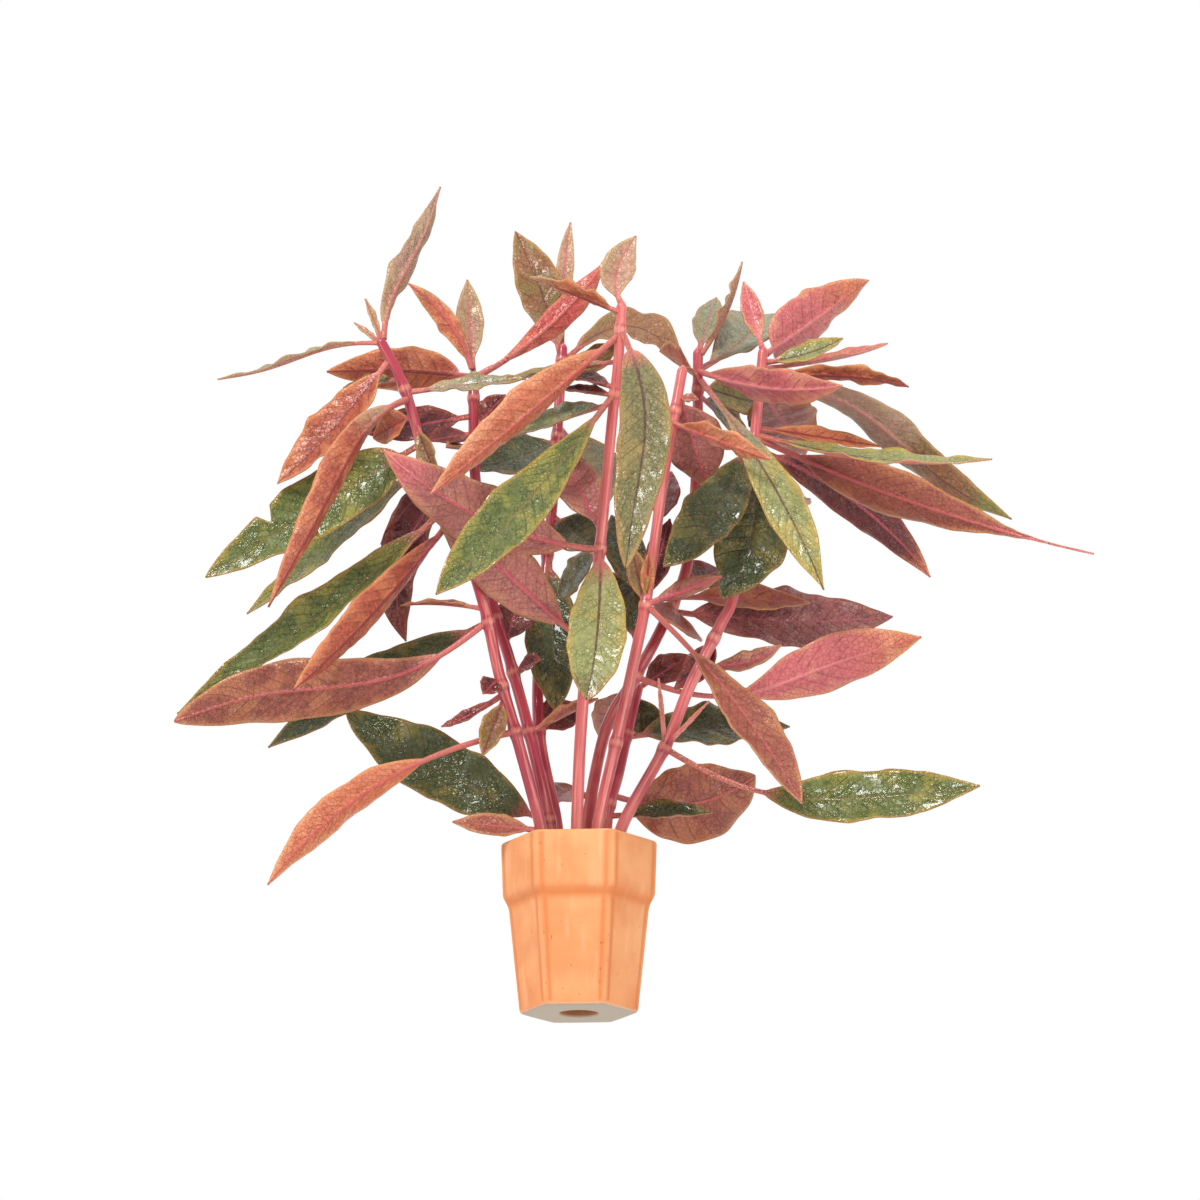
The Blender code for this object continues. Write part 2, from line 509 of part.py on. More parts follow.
def make_pot(collection, cutters, material):
    """A tapered body with a collar, hollow inside, and a round drain hole in its floor."""
    profile = [
        (0, FLOOR),
        (BASE_RADIUS - WALL_AT_CORNER + HOLLOW_FOOT_FLARE, FLOOR),
        (BODY_TOP_RADIUS - WALL_AT_CORNER, BODY_TOP_HEIGHT),
        (RIM_RADIUS - WALL_AT_CORNER, COLLAR_INSIDE_HEIGHT),
        (RIM_RADIUS - WALL_AT_CORNER, POT_HEIGHT),
        (RIM_RADIUS, POT_HEIGHT),
        (COLLAR_FOOT_RADIUS, COLLAR_FOOT_HEIGHT),
        (BODY_TOP_RADIUS, BODY_TOP_HEIGHT),
        (BASE_RADIUS, 0),
        (0, 0),
    ]
    pot = six_sided("pot", profile, collection, material)
    rounding = pot.modifiers.new("soft edges", "BEVEL")
    rounding.width = EDGE_ROUNDING * MM
    rounding.segments = 2
    rounding.limit_method = "ANGLE"
    rounding.angle_limit = math.radians(25)
    bpy.ops.mesh.primitive_cylinder_add(vertices=24, radius=DRAIN_DIAMETER / 2 * MM,
                                        depth=4 * FLOOR * MM, location=placed((0, 0, 0)))
    drain = bpy.context.object
    drain.name = "drain_cutter"
    move_to(drain, cutters)
    make_cutter(drain)
    join_to(pot, drain, "DIFFERENCE")
    return pot


def move_to(obj, collection):
    for old in list(obj.users_collection):
        old.objects.unlink(obj)
    collection.objects.link(obj)


def make_wool(collection, cutters, material):
    """A plug that fills the pot's hollow, with a blind socket for the foot of each stem."""
    inset = WALL_AT_CORNER + GAP + WOOL_SLACK
    profile = [
        (0, WOOL_TOP),
        (RIM_RADIUS - inset, WOOL_TOP),
        (RIM_RADIUS - inset, COLLAR_INSIDE_HEIGHT + WOOL_SLACK),
        (BODY_TOP_RADIUS - inset, BODY_TOP_HEIGHT),
        (BASE_RADIUS - inset + WOOL_SLACK, FLOOR + GAP),
        (0, FLOOR + GAP),
    ]
    wool = six_sided("growing_wool", profile, collection, material)
    for letter in STEM_PATHS:
        low = Vector(placed(stem_point(letter, STEM_FOOT)))
        high = Vector(placed(stem_point(letter, WOOL_TOP + SOCKET_OVERRUN)))
        rise = (high - low).normalized()
        low = low - rise * GAP * MM
        bpy.ops.mesh.primitive_cylinder_add(vertices=10, radius=SOCKET_RADIUS * MM,
                                            depth=(high - low).length)
        socket = bpy.context.object
        socket.name = f"socket_{letter}"
        socket.location = (low + high) / 2
        socket.rotation_euler = rise.to_track_quat("Z", "Y").to_euler()
        move_to(socket, cutters)
        make_cutter(socket)
        join_to(wool, socket, "DIFFERENCE")
    return wool


def main():
    clear_scene()
    plant = new_collection("potted_sessile_joyweed")
    cutters = new_collection("cutters")
    materials = {name: paint(name, 0.4) for name in COLOURS}
    make_pot(plant, cutters, materials["clay"])
    make_wool(plant, cutters, materials["wool"])
    for letter in STEM_PATHS:
        make_stem(letter, plant, cutters, materials["stem"])
    for row in LEAVES:
        make_leaf(row, plant, materials)


main()
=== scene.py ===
# %% [markdown]
# # A potted sessile joyweed
# This lesson dresses a water plant: eight cut stems with narrow leaves, held in a small clay pot.
# A plain model of it already exists, the frame, with one simple solid for each leaf and stem.
# The frame says where everything is. What follows gives each solid its fine shape and its finish.

import bpy
import numpy as np
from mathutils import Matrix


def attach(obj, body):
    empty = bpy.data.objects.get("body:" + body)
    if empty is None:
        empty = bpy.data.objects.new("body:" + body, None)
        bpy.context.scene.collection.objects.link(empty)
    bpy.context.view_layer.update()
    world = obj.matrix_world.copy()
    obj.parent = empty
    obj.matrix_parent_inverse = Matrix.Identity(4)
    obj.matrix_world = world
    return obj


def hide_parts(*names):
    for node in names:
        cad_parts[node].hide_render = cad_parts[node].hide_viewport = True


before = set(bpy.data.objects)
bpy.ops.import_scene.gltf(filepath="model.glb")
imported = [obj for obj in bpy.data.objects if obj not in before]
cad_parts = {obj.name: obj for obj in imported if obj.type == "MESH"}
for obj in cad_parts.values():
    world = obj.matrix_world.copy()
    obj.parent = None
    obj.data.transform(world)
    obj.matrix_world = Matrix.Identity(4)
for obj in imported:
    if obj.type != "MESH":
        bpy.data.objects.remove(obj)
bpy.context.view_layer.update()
print("the frame has", len(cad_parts), "nodes")

# %% [markdown]
# ## Places and colours
# Places are written in millimetres from the centre of the pot's base, because that is how one
# measures a pot plant. The frame's own origin is elsewhere: below the middle of the whole plant.
# `placed` goes from the one to the other, and to metres. Colours are read off a picture as
# numbers from 0 to 255, and Blender's shaders want them linear, which `rgb` does.

# %% Helpers for places and colours
MM = 0.001
ORIGIN = (15, 4, 0)


def placed(points):
    """From millimetres off the pot's foot to metres in the frame."""
    return (np.array(points, dtype=float) - ORIGIN) * MM


def rgb(red, green, blue):
    """A screen colour made linear: each channel is raised to about the power 2.2."""
    screen = np.array([red, green, blue]) / 255
    linear = np.where(screen <= 0.04045, screen / 12.92, ((screen + 0.055) / 1.055) ** 2.4)
    return (*linear.tolist(), 1.0)


def unit(vectors):
    """Vectors of the same direction, of length 1."""
    return vectors / np.linalg.norm(vectors, axis=-1, keepdims=True)


# %% [markdown]
# ## The camera
# The picture was taken from far away with a long lens, so lines hardly converge, and from a
# little below: the pot's underside shows. The lens follows from the scale, because at distance
# `far` a sensor of width `sensor` sees `far * sensor / lens` metres.

# %% Camera
PICTURE = 1200
METRES_A_PIXEL = 0.000263
FAR = 2.0
BELOW = np.radians(13.5)
AIM = placed((5.5, 0, 110.5))

scene = bpy.context.scene


def add_object(name, data):
    """Puts a camera, a lamp or a mesh into the scene."""
    made = bpy.data.objects.new(name, data)
    scene.collection.objects.link(made)
    return made


lens = bpy.data.cameras.new("long lens")
lens.sensor_width = 36.0
lens.lens = lens.sensor_width * FAR / (PICTURE * METRES_A_PIXEL)
lens.clip_end = 20.0
camera = add_object("camera", lens)
camera.location = AIM + FAR * np.array([0, -np.cos(BELOW), -np.sin(BELOW)])
camera.rotation_euler = (np.pi / 2 + BELOW, 0, 0)
scene.camera = camera
print(f"the lens is {lens.lens:.0f} mm long")

# %% [markdown]
# ## Numbers into meshes
# Every new surface here is a grid of points, worked out with numpy in one go. A tube-like
# surface is a stack of rings. A leaf is one too, only pressed very flat: each of its rings goes
# along the upper face and comes back along the underside. So one function can turn any stack
# of rings into a closed mesh, and it can store numbers on the points for the shaders to read.

# %% Rings into a closed mesh
def ring_faces(rows, around):
    """Quads between each ring and the next, counted round the ring and closed on itself."""
    index = np.arange(rows * around).reshape(rows, around)
    turned = np.roll(index, -1, axis=1)
    return np.stack([index[:-1], turned[:-1], turned[1:], index[1:]], axis=-1).reshape(-1, 4)


def end_faces(first, around):
    """A ladder of quads across one ring, from its first half over to its second."""
    left = first + np.arange(around // 2)
    right = first + around - 1 - np.arange(around // 2)
    return np.stack([left[:-1], left[1:], right[1:], right[:-1]], axis=-1)


def tube_faces(rows, around):
    """All the quads of a stack of rings: between the rings, and across the two ends."""
    last = (rows - 1) * around
    return np.vstack([ring_faces(rows, around), end_faces(0, around)[:, ::-1], end_faces(last, around)])


def add_mesh(name, points, numbers, materials, faces=None, face_material=None):
    """Makes the piece: points in millimetres, numbers on them, and finishes. Where no faces are
    given, the points are a stack of rings."""
    if faces is None:
        faces = tube_faces(*points.shape[:2])
    points = placed(points).reshape(-1, 3)
    mesh = bpy.data.meshes.new(name)
    mesh.from_pydata(points.tolist(), [], faces.tolist())
    for key, values in numbers.items():
        values = values.reshape(len(points), -1).astype(np.float32)
        kind, field = ("FLOAT", "value") if values.shape[1] == 1 else ("FLOAT_VECTOR", "vector")
        mesh.attributes.new(key, kind, "POINT").data.foreach_set(field, values.ravel())
    for material in materials:
        mesh.materials.append(material)
    if face_material is not None:
        mesh.polygons.foreach_set("material_index", face_material.astype(np.int32))
    mesh.shade_smooth()
    mesh.update()
    piece = add_object(name, mesh)
    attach(piece, "root")
    return piece


# %% [markdown]
# ## Shader sums in Python
# Blender's shaders are graphs of nodes. A sum such as `1 - mask * 0.5` takes two nodes, and a
# long one soon looks like wool. So `Wire` wraps a node's output and gives it Python's operators,
# which `maths` makes: each one adds a Math node. `Board` holds a material's nodes, and its `node`
# makes all of them.

# %% Wire and Board
def maths(operation, turned=False):
    """A method for Wire that adds a Math node. Turned, the wire is its second number."""
    def method(self, other=0.0):
        first, second = (other, self) if turned else (self, other)
        return self.board.node("ShaderNodeMath", {"operation": operation}, {0: first, 1: second})
    return method


class Wire:
    """The output of a node. It can be added, subtracted, multiplied and divided, and
    `wire.pingpong(0.5)` is how far its number is from the nearest whole one."""

    def __init__(self, board, socket):
        self.board = board
        self.socket = socket

    __add__, __radd__ = maths("ADD"), maths("ADD", turned=True)
    __sub__, __rsub__ = maths("SUBTRACT"), maths("SUBTRACT", turned=True)
    __mul__, __rmul__ = maths("MULTIPLY"), maths("MULTIPLY", turned=True)
    __truediv__ = maths("DIVIDE")
    absolute = maths("ABSOLUTE")
    pingpong = maths("PINGPONG")


class Board:
    """The nodes of one material, or of the world."""

    def __init__(self, owner):
        self.owner = owner
        self.owner.use_nodes = True
        self.tree = owner.node_tree
        self.shader = self.tree.nodes.get("Principled BSDF") or self.tree.nodes["Background"]

    def put(self, socket, value):
        """Links a wire to a node's input, or gives it a plain value."""
        if isinstance(value, Wire):
            self.tree.links.new(value.socket, socket)
        else:
            socket.default_value = value

    def node(self, kind, settings, sockets, output=0):
        """A node of this kind: its settings first, then what goes into it. Returns one output."""
        made = self.tree.nodes.new(kind)
        for key, value in settings.items():
            setattr(made, key, value)
        for key, value in sockets.items():
            self.put(made.inputs[key], value)
        return Wire(self, made.outputs[output])

    def number(self, name):
        """A number that the mesh carries on its points."""
        return self.node("ShaderNodeAttribute", {"attribute_name": name}, {}, "Fac")

    def vector(self, name):
        """A vector that the mesh carries on its points."""
        return self.node("ShaderNodeAttribute", {"attribute_name": name}, {}, "Vector")

    def parts(self, name):
        """The three numbers of such a vector."""
        first = self.node("ShaderNodeSeparateXYZ", {}, {"Vector": self.vector(name)})
        return [Wire(self, output) for output in first.socket.node.outputs]

    def step(self, value, low, high, start=0.0, end=1.0):
        """Goes softly from start to end while the value goes from low to high."""
        sockets = {"Value": value, "From Min": low, "From Max": high, "To Min": start, "To Max": end}
        return self.node("ShaderNodeMapRange", {"interpolation_type": "SMOOTHSTEP"}, sockets)

    def cloud(self, size_mm, detail=2.0, stretch=(1, 1, 1), place=None):
        """Noise from 0 to 1 with lumps of about this size, in space or at a place of its own."""
        place = place or self.node("ShaderNodeTexCoord", {}, {}, "Object")
        place = self.node("ShaderNodeMapping", {}, {"Vector": place, "Scale": stretch})
        sockets = {"Vector": place, "Scale": 1 / (size_mm * MM), "Detail": detail}
        return self.node("ShaderNodeTexNoise", {}, sockets)

    def cells(self, size_mm):
        """Distance to the nearest border between cells of about this size, 0 on the border."""
        place = self.node("ShaderNodeTexCoord", {}, {}, "Object")
        sockets = {"Vector": place, "Scale": 1 / (size_mm * MM)}
        return self.node("ShaderNodeTexVoronoi", {"feature": "DISTANCE_TO_EDGE"}, sockets)

    def blend(self, share, first, second):
        """The first colour where the share is 0, the second where it is 1."""
        return self.node("ShaderNodeMix", {"data_type": "RGBA"}, {0: share, 6: first, 7: second}, 2)

    def layers(self, colour, *coats):
        """A colour with others over it. Each coat is its share and its colour."""
        for share, coat in coats:
            colour = self.blend(share, colour, coat)
        return colour

    def bump(self, height, depth_mm):
        """Directions of a surface with this relief, which is this deep from 0 to 1."""
        sockets = {"Height": height, "Strength": 1.0, "Distance": depth_mm * MM}
        return self.node("ShaderNodeBump", {}, sockets)

    def finish(self, **values):
        """Sets the shader's sockets, with underscores for the spaces in their names."""
        for key, value in values.items():
            self.put(self.shader.inputs[key.replace("_", " ")], value)
        return self.owner


# %% [markdown]
# ## The studio
# Such pictures are taken before a white backdrop, in soft light. A world that is white behind and
# above gives that light, and two soft lamps in front shape the leaves and give the wet ones
# something to mirror. The floor is pale and plain. The camera looks from below the floor's level,
# so the floor is clear on its underside. It also has an opening the size of the pot's foot, as a
# glass table would let light through to the pot's underside.

# %% World, lamps and floor
FLOOR_SIZE = 3.0
FLOOR_SIDES = 48
FLOOR_HOLE = 0.0156
POT_TURN = np.radians(-4.0)
HALF_SECTOR = np.cos(np.radians(30))
BACKDROP = (0, 0.8, 0.6)
ROOM_LIGHT = 0.45

scene.view_settings.view_transform = "Standard"


def add_world():
    """White behind the plant and over it, and half as bright in front and below, so that the
    lamps in front can shape it."""
    scene.world = bpy.data.worlds.new("white studio")
    board = Board(scene.world)
    direction = board.node("ShaderNodeTexCoord", {}, {}, "Generated")
    towards = board.node("ShaderNodeVectorMath", {"operation": "DOT_PRODUCT"},
                         {0: direction, 1: BACKDROP}, "Value")
    board.finish(Color=(1, 1, 1, 1), Strength=board.step(towards, -0.4, 0.7, ROOM_LIGHT, 1.0))


def add_lamp(name, place, size, watts):
    """A square soft lamp that looks at the middle of the plant."""
    light = bpy.data.lights.new(name, "AREA")
    light.size = size
    light.energy = watts
    lamp = add_object(name, light)
    lamp.location = place
    away = AIM - np.array(place)
    lamp.rotation_euler = (np.arctan2(np.hypot(away[0], away[1]), -away[2]), 0,
                           np.arctan2(away[1], away[0]) - np.pi / 2)


add_world()
add_lamp("key lamp", (-0.45, -0.9, 1.05), 0.3, 12.0)
add_lamp("fill lamp", (0.8, -1.0, 0.35), 0.6, 3.5)


def floor_material():
    """White from above and clear from below."""
    board = Board(bpy.data.materials.new("floor"))
    board.finish(Base_Color=rgb(244, 244, 242), Roughness=0.8)
    behind = board.node("ShaderNodeNewGeometry", {}, {}, "Backfacing")
    clear = board.node("ShaderNodeBsdfTransparent", {}, {})
    solid = Wire(board, board.shader.outputs[0])
    both = board.node("ShaderNodeMixShader", {}, {0: behind, 1: solid, 2: clear})
    board.put(board.tree.nodes["Material Output"].inputs["Surface"], both)
    return board.owner


def add_floor():
    """A ring of quads. Its outer edge is a wide circle and its inner one the outline of the
    pot's six-sided foot."""
    turn = np.linspace(0, 2 * np.pi, FLOOR_SIDES, endpoint=False)
    circle = np.stack([np.cos(turn + POT_TURN), np.sin(turn + POT_TURN), 0 * turn], axis=-1)
    foot = HALF_SECTOR / np.cos(turn % (np.pi / 3) - np.pi / 6)
    points = np.vstack([circle * foot[:, None] * FLOOR_HOLE, circle * FLOOR_SIZE])
    points = points + placed((0, 0, 0))
    mesh = bpy.data.meshes.new("floor")
    mesh.from_pydata(points.tolist(), [], ring_faces(2, FLOOR_SIDES)[:, ::-1].tolist())
    mesh.materials.append(floor_material())
    floor = add_object("floor", mesh)


add_floor()
print("the floor is", FLOOR_SIZE, "m in radius")

# %% [markdown]
# ## Where the stems go
# The eight stems are the plant's skeleton: everything else starts on them. Each follows a few
# points, from its foot in the growing wool to its top, and a smooth curve through them. The
# curve is a Catmull-Rom one: it passes through every point, with the slope of its neighbours.

# %% Stem paths
STEM_PATHS = {
    "a": [(-8.8, -3.5, 36), (-10, -4, 49), (-16.6, -5, 74), (-20.8, -6, 89), (-25, -6, 108),
          (-31.3, -6, 127), (-39.2, -6.5, 143), (-46, -7.5, 166), (-53, -8.5, 180)],
    "b": [(-6.6, 2, 36), (-7.4, 2.5, 50), (-13.1, 4, 76), (-18.1, 5, 95), (-23.4, 6, 114),
          (-27.6, 8, 147), (-28.1, 10, 176)],
    "c": [(-4.8, 7, 36), (-5.8, 8, 52), (-10.5, 13, 78), (-10.3, 20, 106), (-7, 28, 146),
          (-4.5, 34, 190)],
    "d": [(-0.6, -5, 36), (-0.5, -6, 48), (1.1, -9, 81), (5.5, -13, 121), (8.7, -16, 155),
          (10.3, -17.5, 170), (11.3, -19, 187)],
    "e": [(2.4, 2, 36), (2.1, 2.5, 50), (7.1, 6, 77), (15, 9, 92), (22.4, 12, 107),
          (28.7, 15, 124), (31.3, 18, 152), (31.8, 20, 185)],
    "f": [(4.6, -3.6, 36), (5, -4, 49), (9.7, -4, 71), (13.4, -4, 88), (17.4, -4, 108),
          (20.3, -3, 128), (22.4, -2, 144), (27.6, 2, 175)],
    "g": [(7.4, 4.6, 36), (7.4, 6, 53), (10.3, 12, 66), (12.9, 18, 79), (16, 26, 94)],
    "h": [(9.4, -2, 36), (11.3, -3, 49), (22.4, -3, 70), (29.2, -2, 87), (36.8, 0, 103),
          (41, 3, 114), (45.5, 8, 147), (49.2, 12, 183)],
}
STEM_NODES = {
    "a": (74, 86, 103, 133, 148, 166), "b": (52, 76, 92, 107, 150, 168), "c": (78, 129, 163, 185),
    "d": (96, 121, 162, 179), "e": (92, 112, 173), "f": (71, 108, 162), "g": (57, 78),
    "h": (70, 100, 155, 173),
}
STEM_FOOT = 36.0
STEM_RADIUS_FOOT = 1.60
STEM_RADIUS_TOP = 1.35


def smooth_path(points, steps=10):
    """A Catmull-Rom curve through the points, with its ends drawn out straight."""
    rows = np.array(points, dtype=float)
    rows = np.vstack([2 * rows[0] - rows[1], rows, 2 * rows[-1] - rows[-2]])
    p0, p1, p2, p3 = (p[:, None, :] for p in (rows[:-3], rows[1:-2], rows[2:-1], rows[3:]))
    t = np.linspace(0, 1, steps, endpoint=False)[None, :, None]
    curve = 0.5 * (2 * p1 + (p2 - p0) * t + (2 * p0 - 5 * p1 + 4 * p2 - p3) * t ** 2
                   + (3 * p1 - p0 - 3 * p2 + p3) * t ** 3)
    return np.vstack([curve.reshape(-1, 3), rows[-2]])


STEM_CURVES = {letter: smooth_path(points) for letter, points in STEM_PATHS.items()}


def stem_points(letter, heights):
    """The stem's axis at some heights above the pot's base."""
    curve = STEM_CURVES[letter]
    x = np.interp(heights, curve[:, 2], curve[:, 0])
    y = np.interp(heights, curve[:, 2], curve[:, 1])
    return np.stack([x, y, np.asarray(heights, float) + 0 * x], axis=-1)


def leaf_root(letter, height, tip, bow, clearance):
    """The stalk's start, off the stem's axis towards the leaf, square to the stem."""
    low, here = stem_points(letter, [height - 4, height])
    along = unit(here - low)
    lead = (tip - here) / 2 + 2 * bow
    lead = lead - along * (lead @ along)
    return here + unit(lead) * clearance


# %% [markdown]
# ## The shape of a leaf
# A leaf is a sheet over two numbers. The first, u, runs along the midrib from stalk to tip, the
# second, v, from the left edge (-1) over the midrib (0) to the right edge (1). The midrib is a
# parabola, each row across it is an arc, and the width follows a bent sine. Then comes what
# makes it a leaf and not a paddle: the blade bulges between the side veins, its edge waves, and
# the midrib is a groove above and a rib below. A flat plane with a picture of a leaf would
# look the same from the front, and like a plane from anywhere else. A generator with a fixed
# seed draws a phase for the waves and a tone: no two leaves are alike, and each run is the same.

# %% Leaf shape
LEAF_ROWS, LEAF_COLUMNS = 96, 10
SMALL_ROWS, SMALL_COLUMNS = 30, 5
STALK_WIDTH = 1.5
TIP_WIDTH = 0.5
BLADE = 0.28
VEIN_SPACING = 4.6
VEIN_SLANT = 0.13
RIB_HALF = 0.75
RIB_HEIGHT = 0.9
GROOVE_HALF = 0.35
GROOVE_DEPTH = 0.14
TEAR_HALF = 0.035
HOOK_START = 0.6
PLAIN = {"blade": (0.9, 0.85), "sway": 0.0, "twist": 0.0, "fold": 0.0, "pucker": 0.3, "wave": 0.7,
         "ripples": 3.0, "crumple": 0.22, "hook": 0.0, "notch": None}
rng = np.random.default_rng(seed=7)


def leaf_midrib(root, tip, bow, sway, u):
    """Points and directions along a parabola that bows off the straight line, with one wave of
    a sine added across it where the leaf sways like an S."""
    w = u[:, None]
    middle = (root + tip) / 2 + 2 * bow
    points = (1 - w) ** 2 * root + 2 * w * (1 - w) * middle + w ** 2 * tip
    slope = 2 * (1 - w) * (middle - root) + 2 * w * (tip - middle)
    across = sway * unit(np.cross((0, 1, 0), tip - root))
    points = points + across * np.sin(2 * np.pi * w)
    return points, unit(slope + across * 2 * np.pi * np.cos(2 * np.pi * w))


def leaf_frame(along, face, twist, u):
    """For each row, the way its upper face looks and the way its right side points."""
    normal = unit(face - along * (along @ face)[:, None])
    side = np.cross(along, normal)
    angle = np.radians(twist) * (u - 0.5)
    normal = normal * np.cos(angle)[:, None] + side * np.sin(angle)[:, None]
    return normal, np.cross(along, normal)


def leaf_half_width(u, v, width, stalk, more, phase):
    """A bent sine from the stalk to the tip, never under the stalk's own width. The edge runs
    a little in and out, and a tear is a dent with a steep side."""
    blade = np.clip((u - stalk) / (1 - stalk), 0, 1)
    lean, taper = more["blade"]
    half = width / 2 * np.sin(np.pi * blade ** lean) ** taper
    narrow = STALK_WIDTH / 2 + (TIP_WIDTH - STALK_WIDTH) / 2 * u
    half = np.maximum(half, np.minimum(narrow, width / 2))[:, None] + 0 * v
    half = half * (1 + 0.025 * np.sin(31 * u[:, None] + phase + 2 * v) * np.abs(v))
    if more["notch"]:
        side, place, depth = more["notch"]
        dent = np.clip(1 - np.abs(u - place) / TEAR_HALF, 0, 1)[:, None]
        half = half * (1 - depth * dent * (v * side > 0))
    return half, blade


def leaf_relief(u, v, half, length, blade, vein, more, phase):
    """Height off the plain sheet: bulges between the veins, waves that grow towards the edge,
    crumples that follow no vein, a fold along the midrib, and a fine groove on it."""
    spread = np.abs(v)
    x, y = length * u[:, None], v * half
    crumple = np.sin(0.7 * x + 0.9 * y + phase) * np.sin(0.45 * x - 1.2 * y + 3 * phase)
    inside = np.clip(4 * blade * (1 - blade), 0, 1)[:, None]
    bulge = (0.5 - 0.5 * np.cos(2 * np.pi * vein)) * np.sin(np.pi * spread ** 0.8)
    turn = 2 * np.pi * more["ripples"] * u[:, None] + phase + 1.7 * np.sign(v)
    waves = np.sin(turn) + 0.35 * np.sin(2.3 * turn)
    fold = np.tan(np.radians(more["fold"])) * spread * half
    groove = np.exp(-(v * half / GROOVE_HALF) ** 2)
    relief = more["pucker"] * bulge + more["wave"] * waves * spread ** 2.2
    relief = relief + more["crumple"] * crumple * spread ** 0.6 - GROOVE_DEPTH * groove
    return inside * relief + fold


def leaf_rings(letter, clearance, shape, more, rows, columns):
    """The rings of a leaf on this stem, with the numbers that its finish reads."""
    height, tip, bow, width, face, roll, stalk = shape
    tip, bow, face = (np.array(place, float) for place in (tip, bow, face))
    root = leaf_root(letter, height, tip, bow, clearance)
    phase = rng.uniform(0, 2 * np.pi)
    u = np.linspace(0, 1, rows + 1) ** 0.9
    t = np.linspace(-1, 1, 2 * columns + 1)
    v = (np.sign(t) * np.abs(t) ** 1.5)[None, :]
    points, along = leaf_midrib(root, tip, bow, more["sway"], u)
    normal, side = leaf_frame(along, face, more["twist"], u)
    hook = more["hook"] * np.clip((u - HOOK_START) / (1 - HOOK_START), 0, 1) ** 2
    points = points + side * hook[:, None]
    length = np.linalg.norm(np.diff(points, axis=0), axis=1).sum()
    half, blade = leaf_half_width(u, v, width, stalk, more, phase)
    vein = max(3, length / VEIN_SPACING) * (u[:, None] - VEIN_SLANT * np.abs(v) ** 1.2)
    vein = vein + 0.35 * (v < 0) + 0.25 * np.sin(9 * u + phase)[:, None]
    relief = leaf_relief(u, v, half, length, blade, vein, more, phase)
    bend = np.radians(roll) * v
    radius = half / np.radians(roll)
    sheet = points[:, None, :] + (radius * np.sin(bend))[..., None] * side[:, None, :]
    sheet = sheet + (radius * (1 - np.cos(bend)) + relief)[..., None] * normal[:, None, :]
    out = unit(np.cross(np.gradient(sheet, axis=1), np.gradient(sheet, axis=0)))
    rib_half = np.maximum(RIB_HALF * (1 - 0.75 * u), 0.2)[:, None]
    rib_height = RIB_HEIGHT * (1 - 0.85 * u[:, None] ** 0.6)
    rib = np.sqrt(np.clip(1 - (v * half / rib_half) ** 2, 0, 1)) * rib_height
    upper = sheet + out * BLADE / 2
    lower = sheet - out * (BLADE / 2 + rib)[..., None]
    rings = np.concatenate([upper, lower[:, ::-1]], axis=1)
    form = np.stack([u[:, None] + 0 * half, np.abs(v) * half, (1 - np.abs(v)) * half], axis=-1)
    numbers = {"form": form, "vein": vein, "blade": blade[:, None] + 0 * half}
    numbers = {key: np.concatenate([n, n[:, ::-1]], axis=1) for key, n in numbers.items()}
    numbers["under"] = np.concatenate([0 * half, 0 * half + 1], axis=1)
    numbers["tone"] = np.full(rings.shape[:2], rng.uniform(-1, 1))
    return rings, numbers


print("a large leaf has", (LEAF_ROWS + 1) * 2 * (2 * LEAF_COLUMNS + 1), "points")

# %% [markdown]
# ## The finish of a leaf
# Joyweed leaves are green or bronze above and rose or rust below, and age and light shift each
# one. So one function makes the finish, and each face of the leaf brings six colours: the
# tissue, its mottles and patches, the veins, the midrib and the edge. Where they go is read
# from the numbers on the mesh, in real millimetres, so a midrib is as wide on a short leaf as on
# a long one. Some leaves change colour on their way to the tip, and all have a pink stalk.
# The leaves are fresh out of the water, and a film of it lies on them in patches: the surface
# is smoother there, and small bumps break its shine up into glints. A look's last number, from
# 0 to 1, says how wet it is.

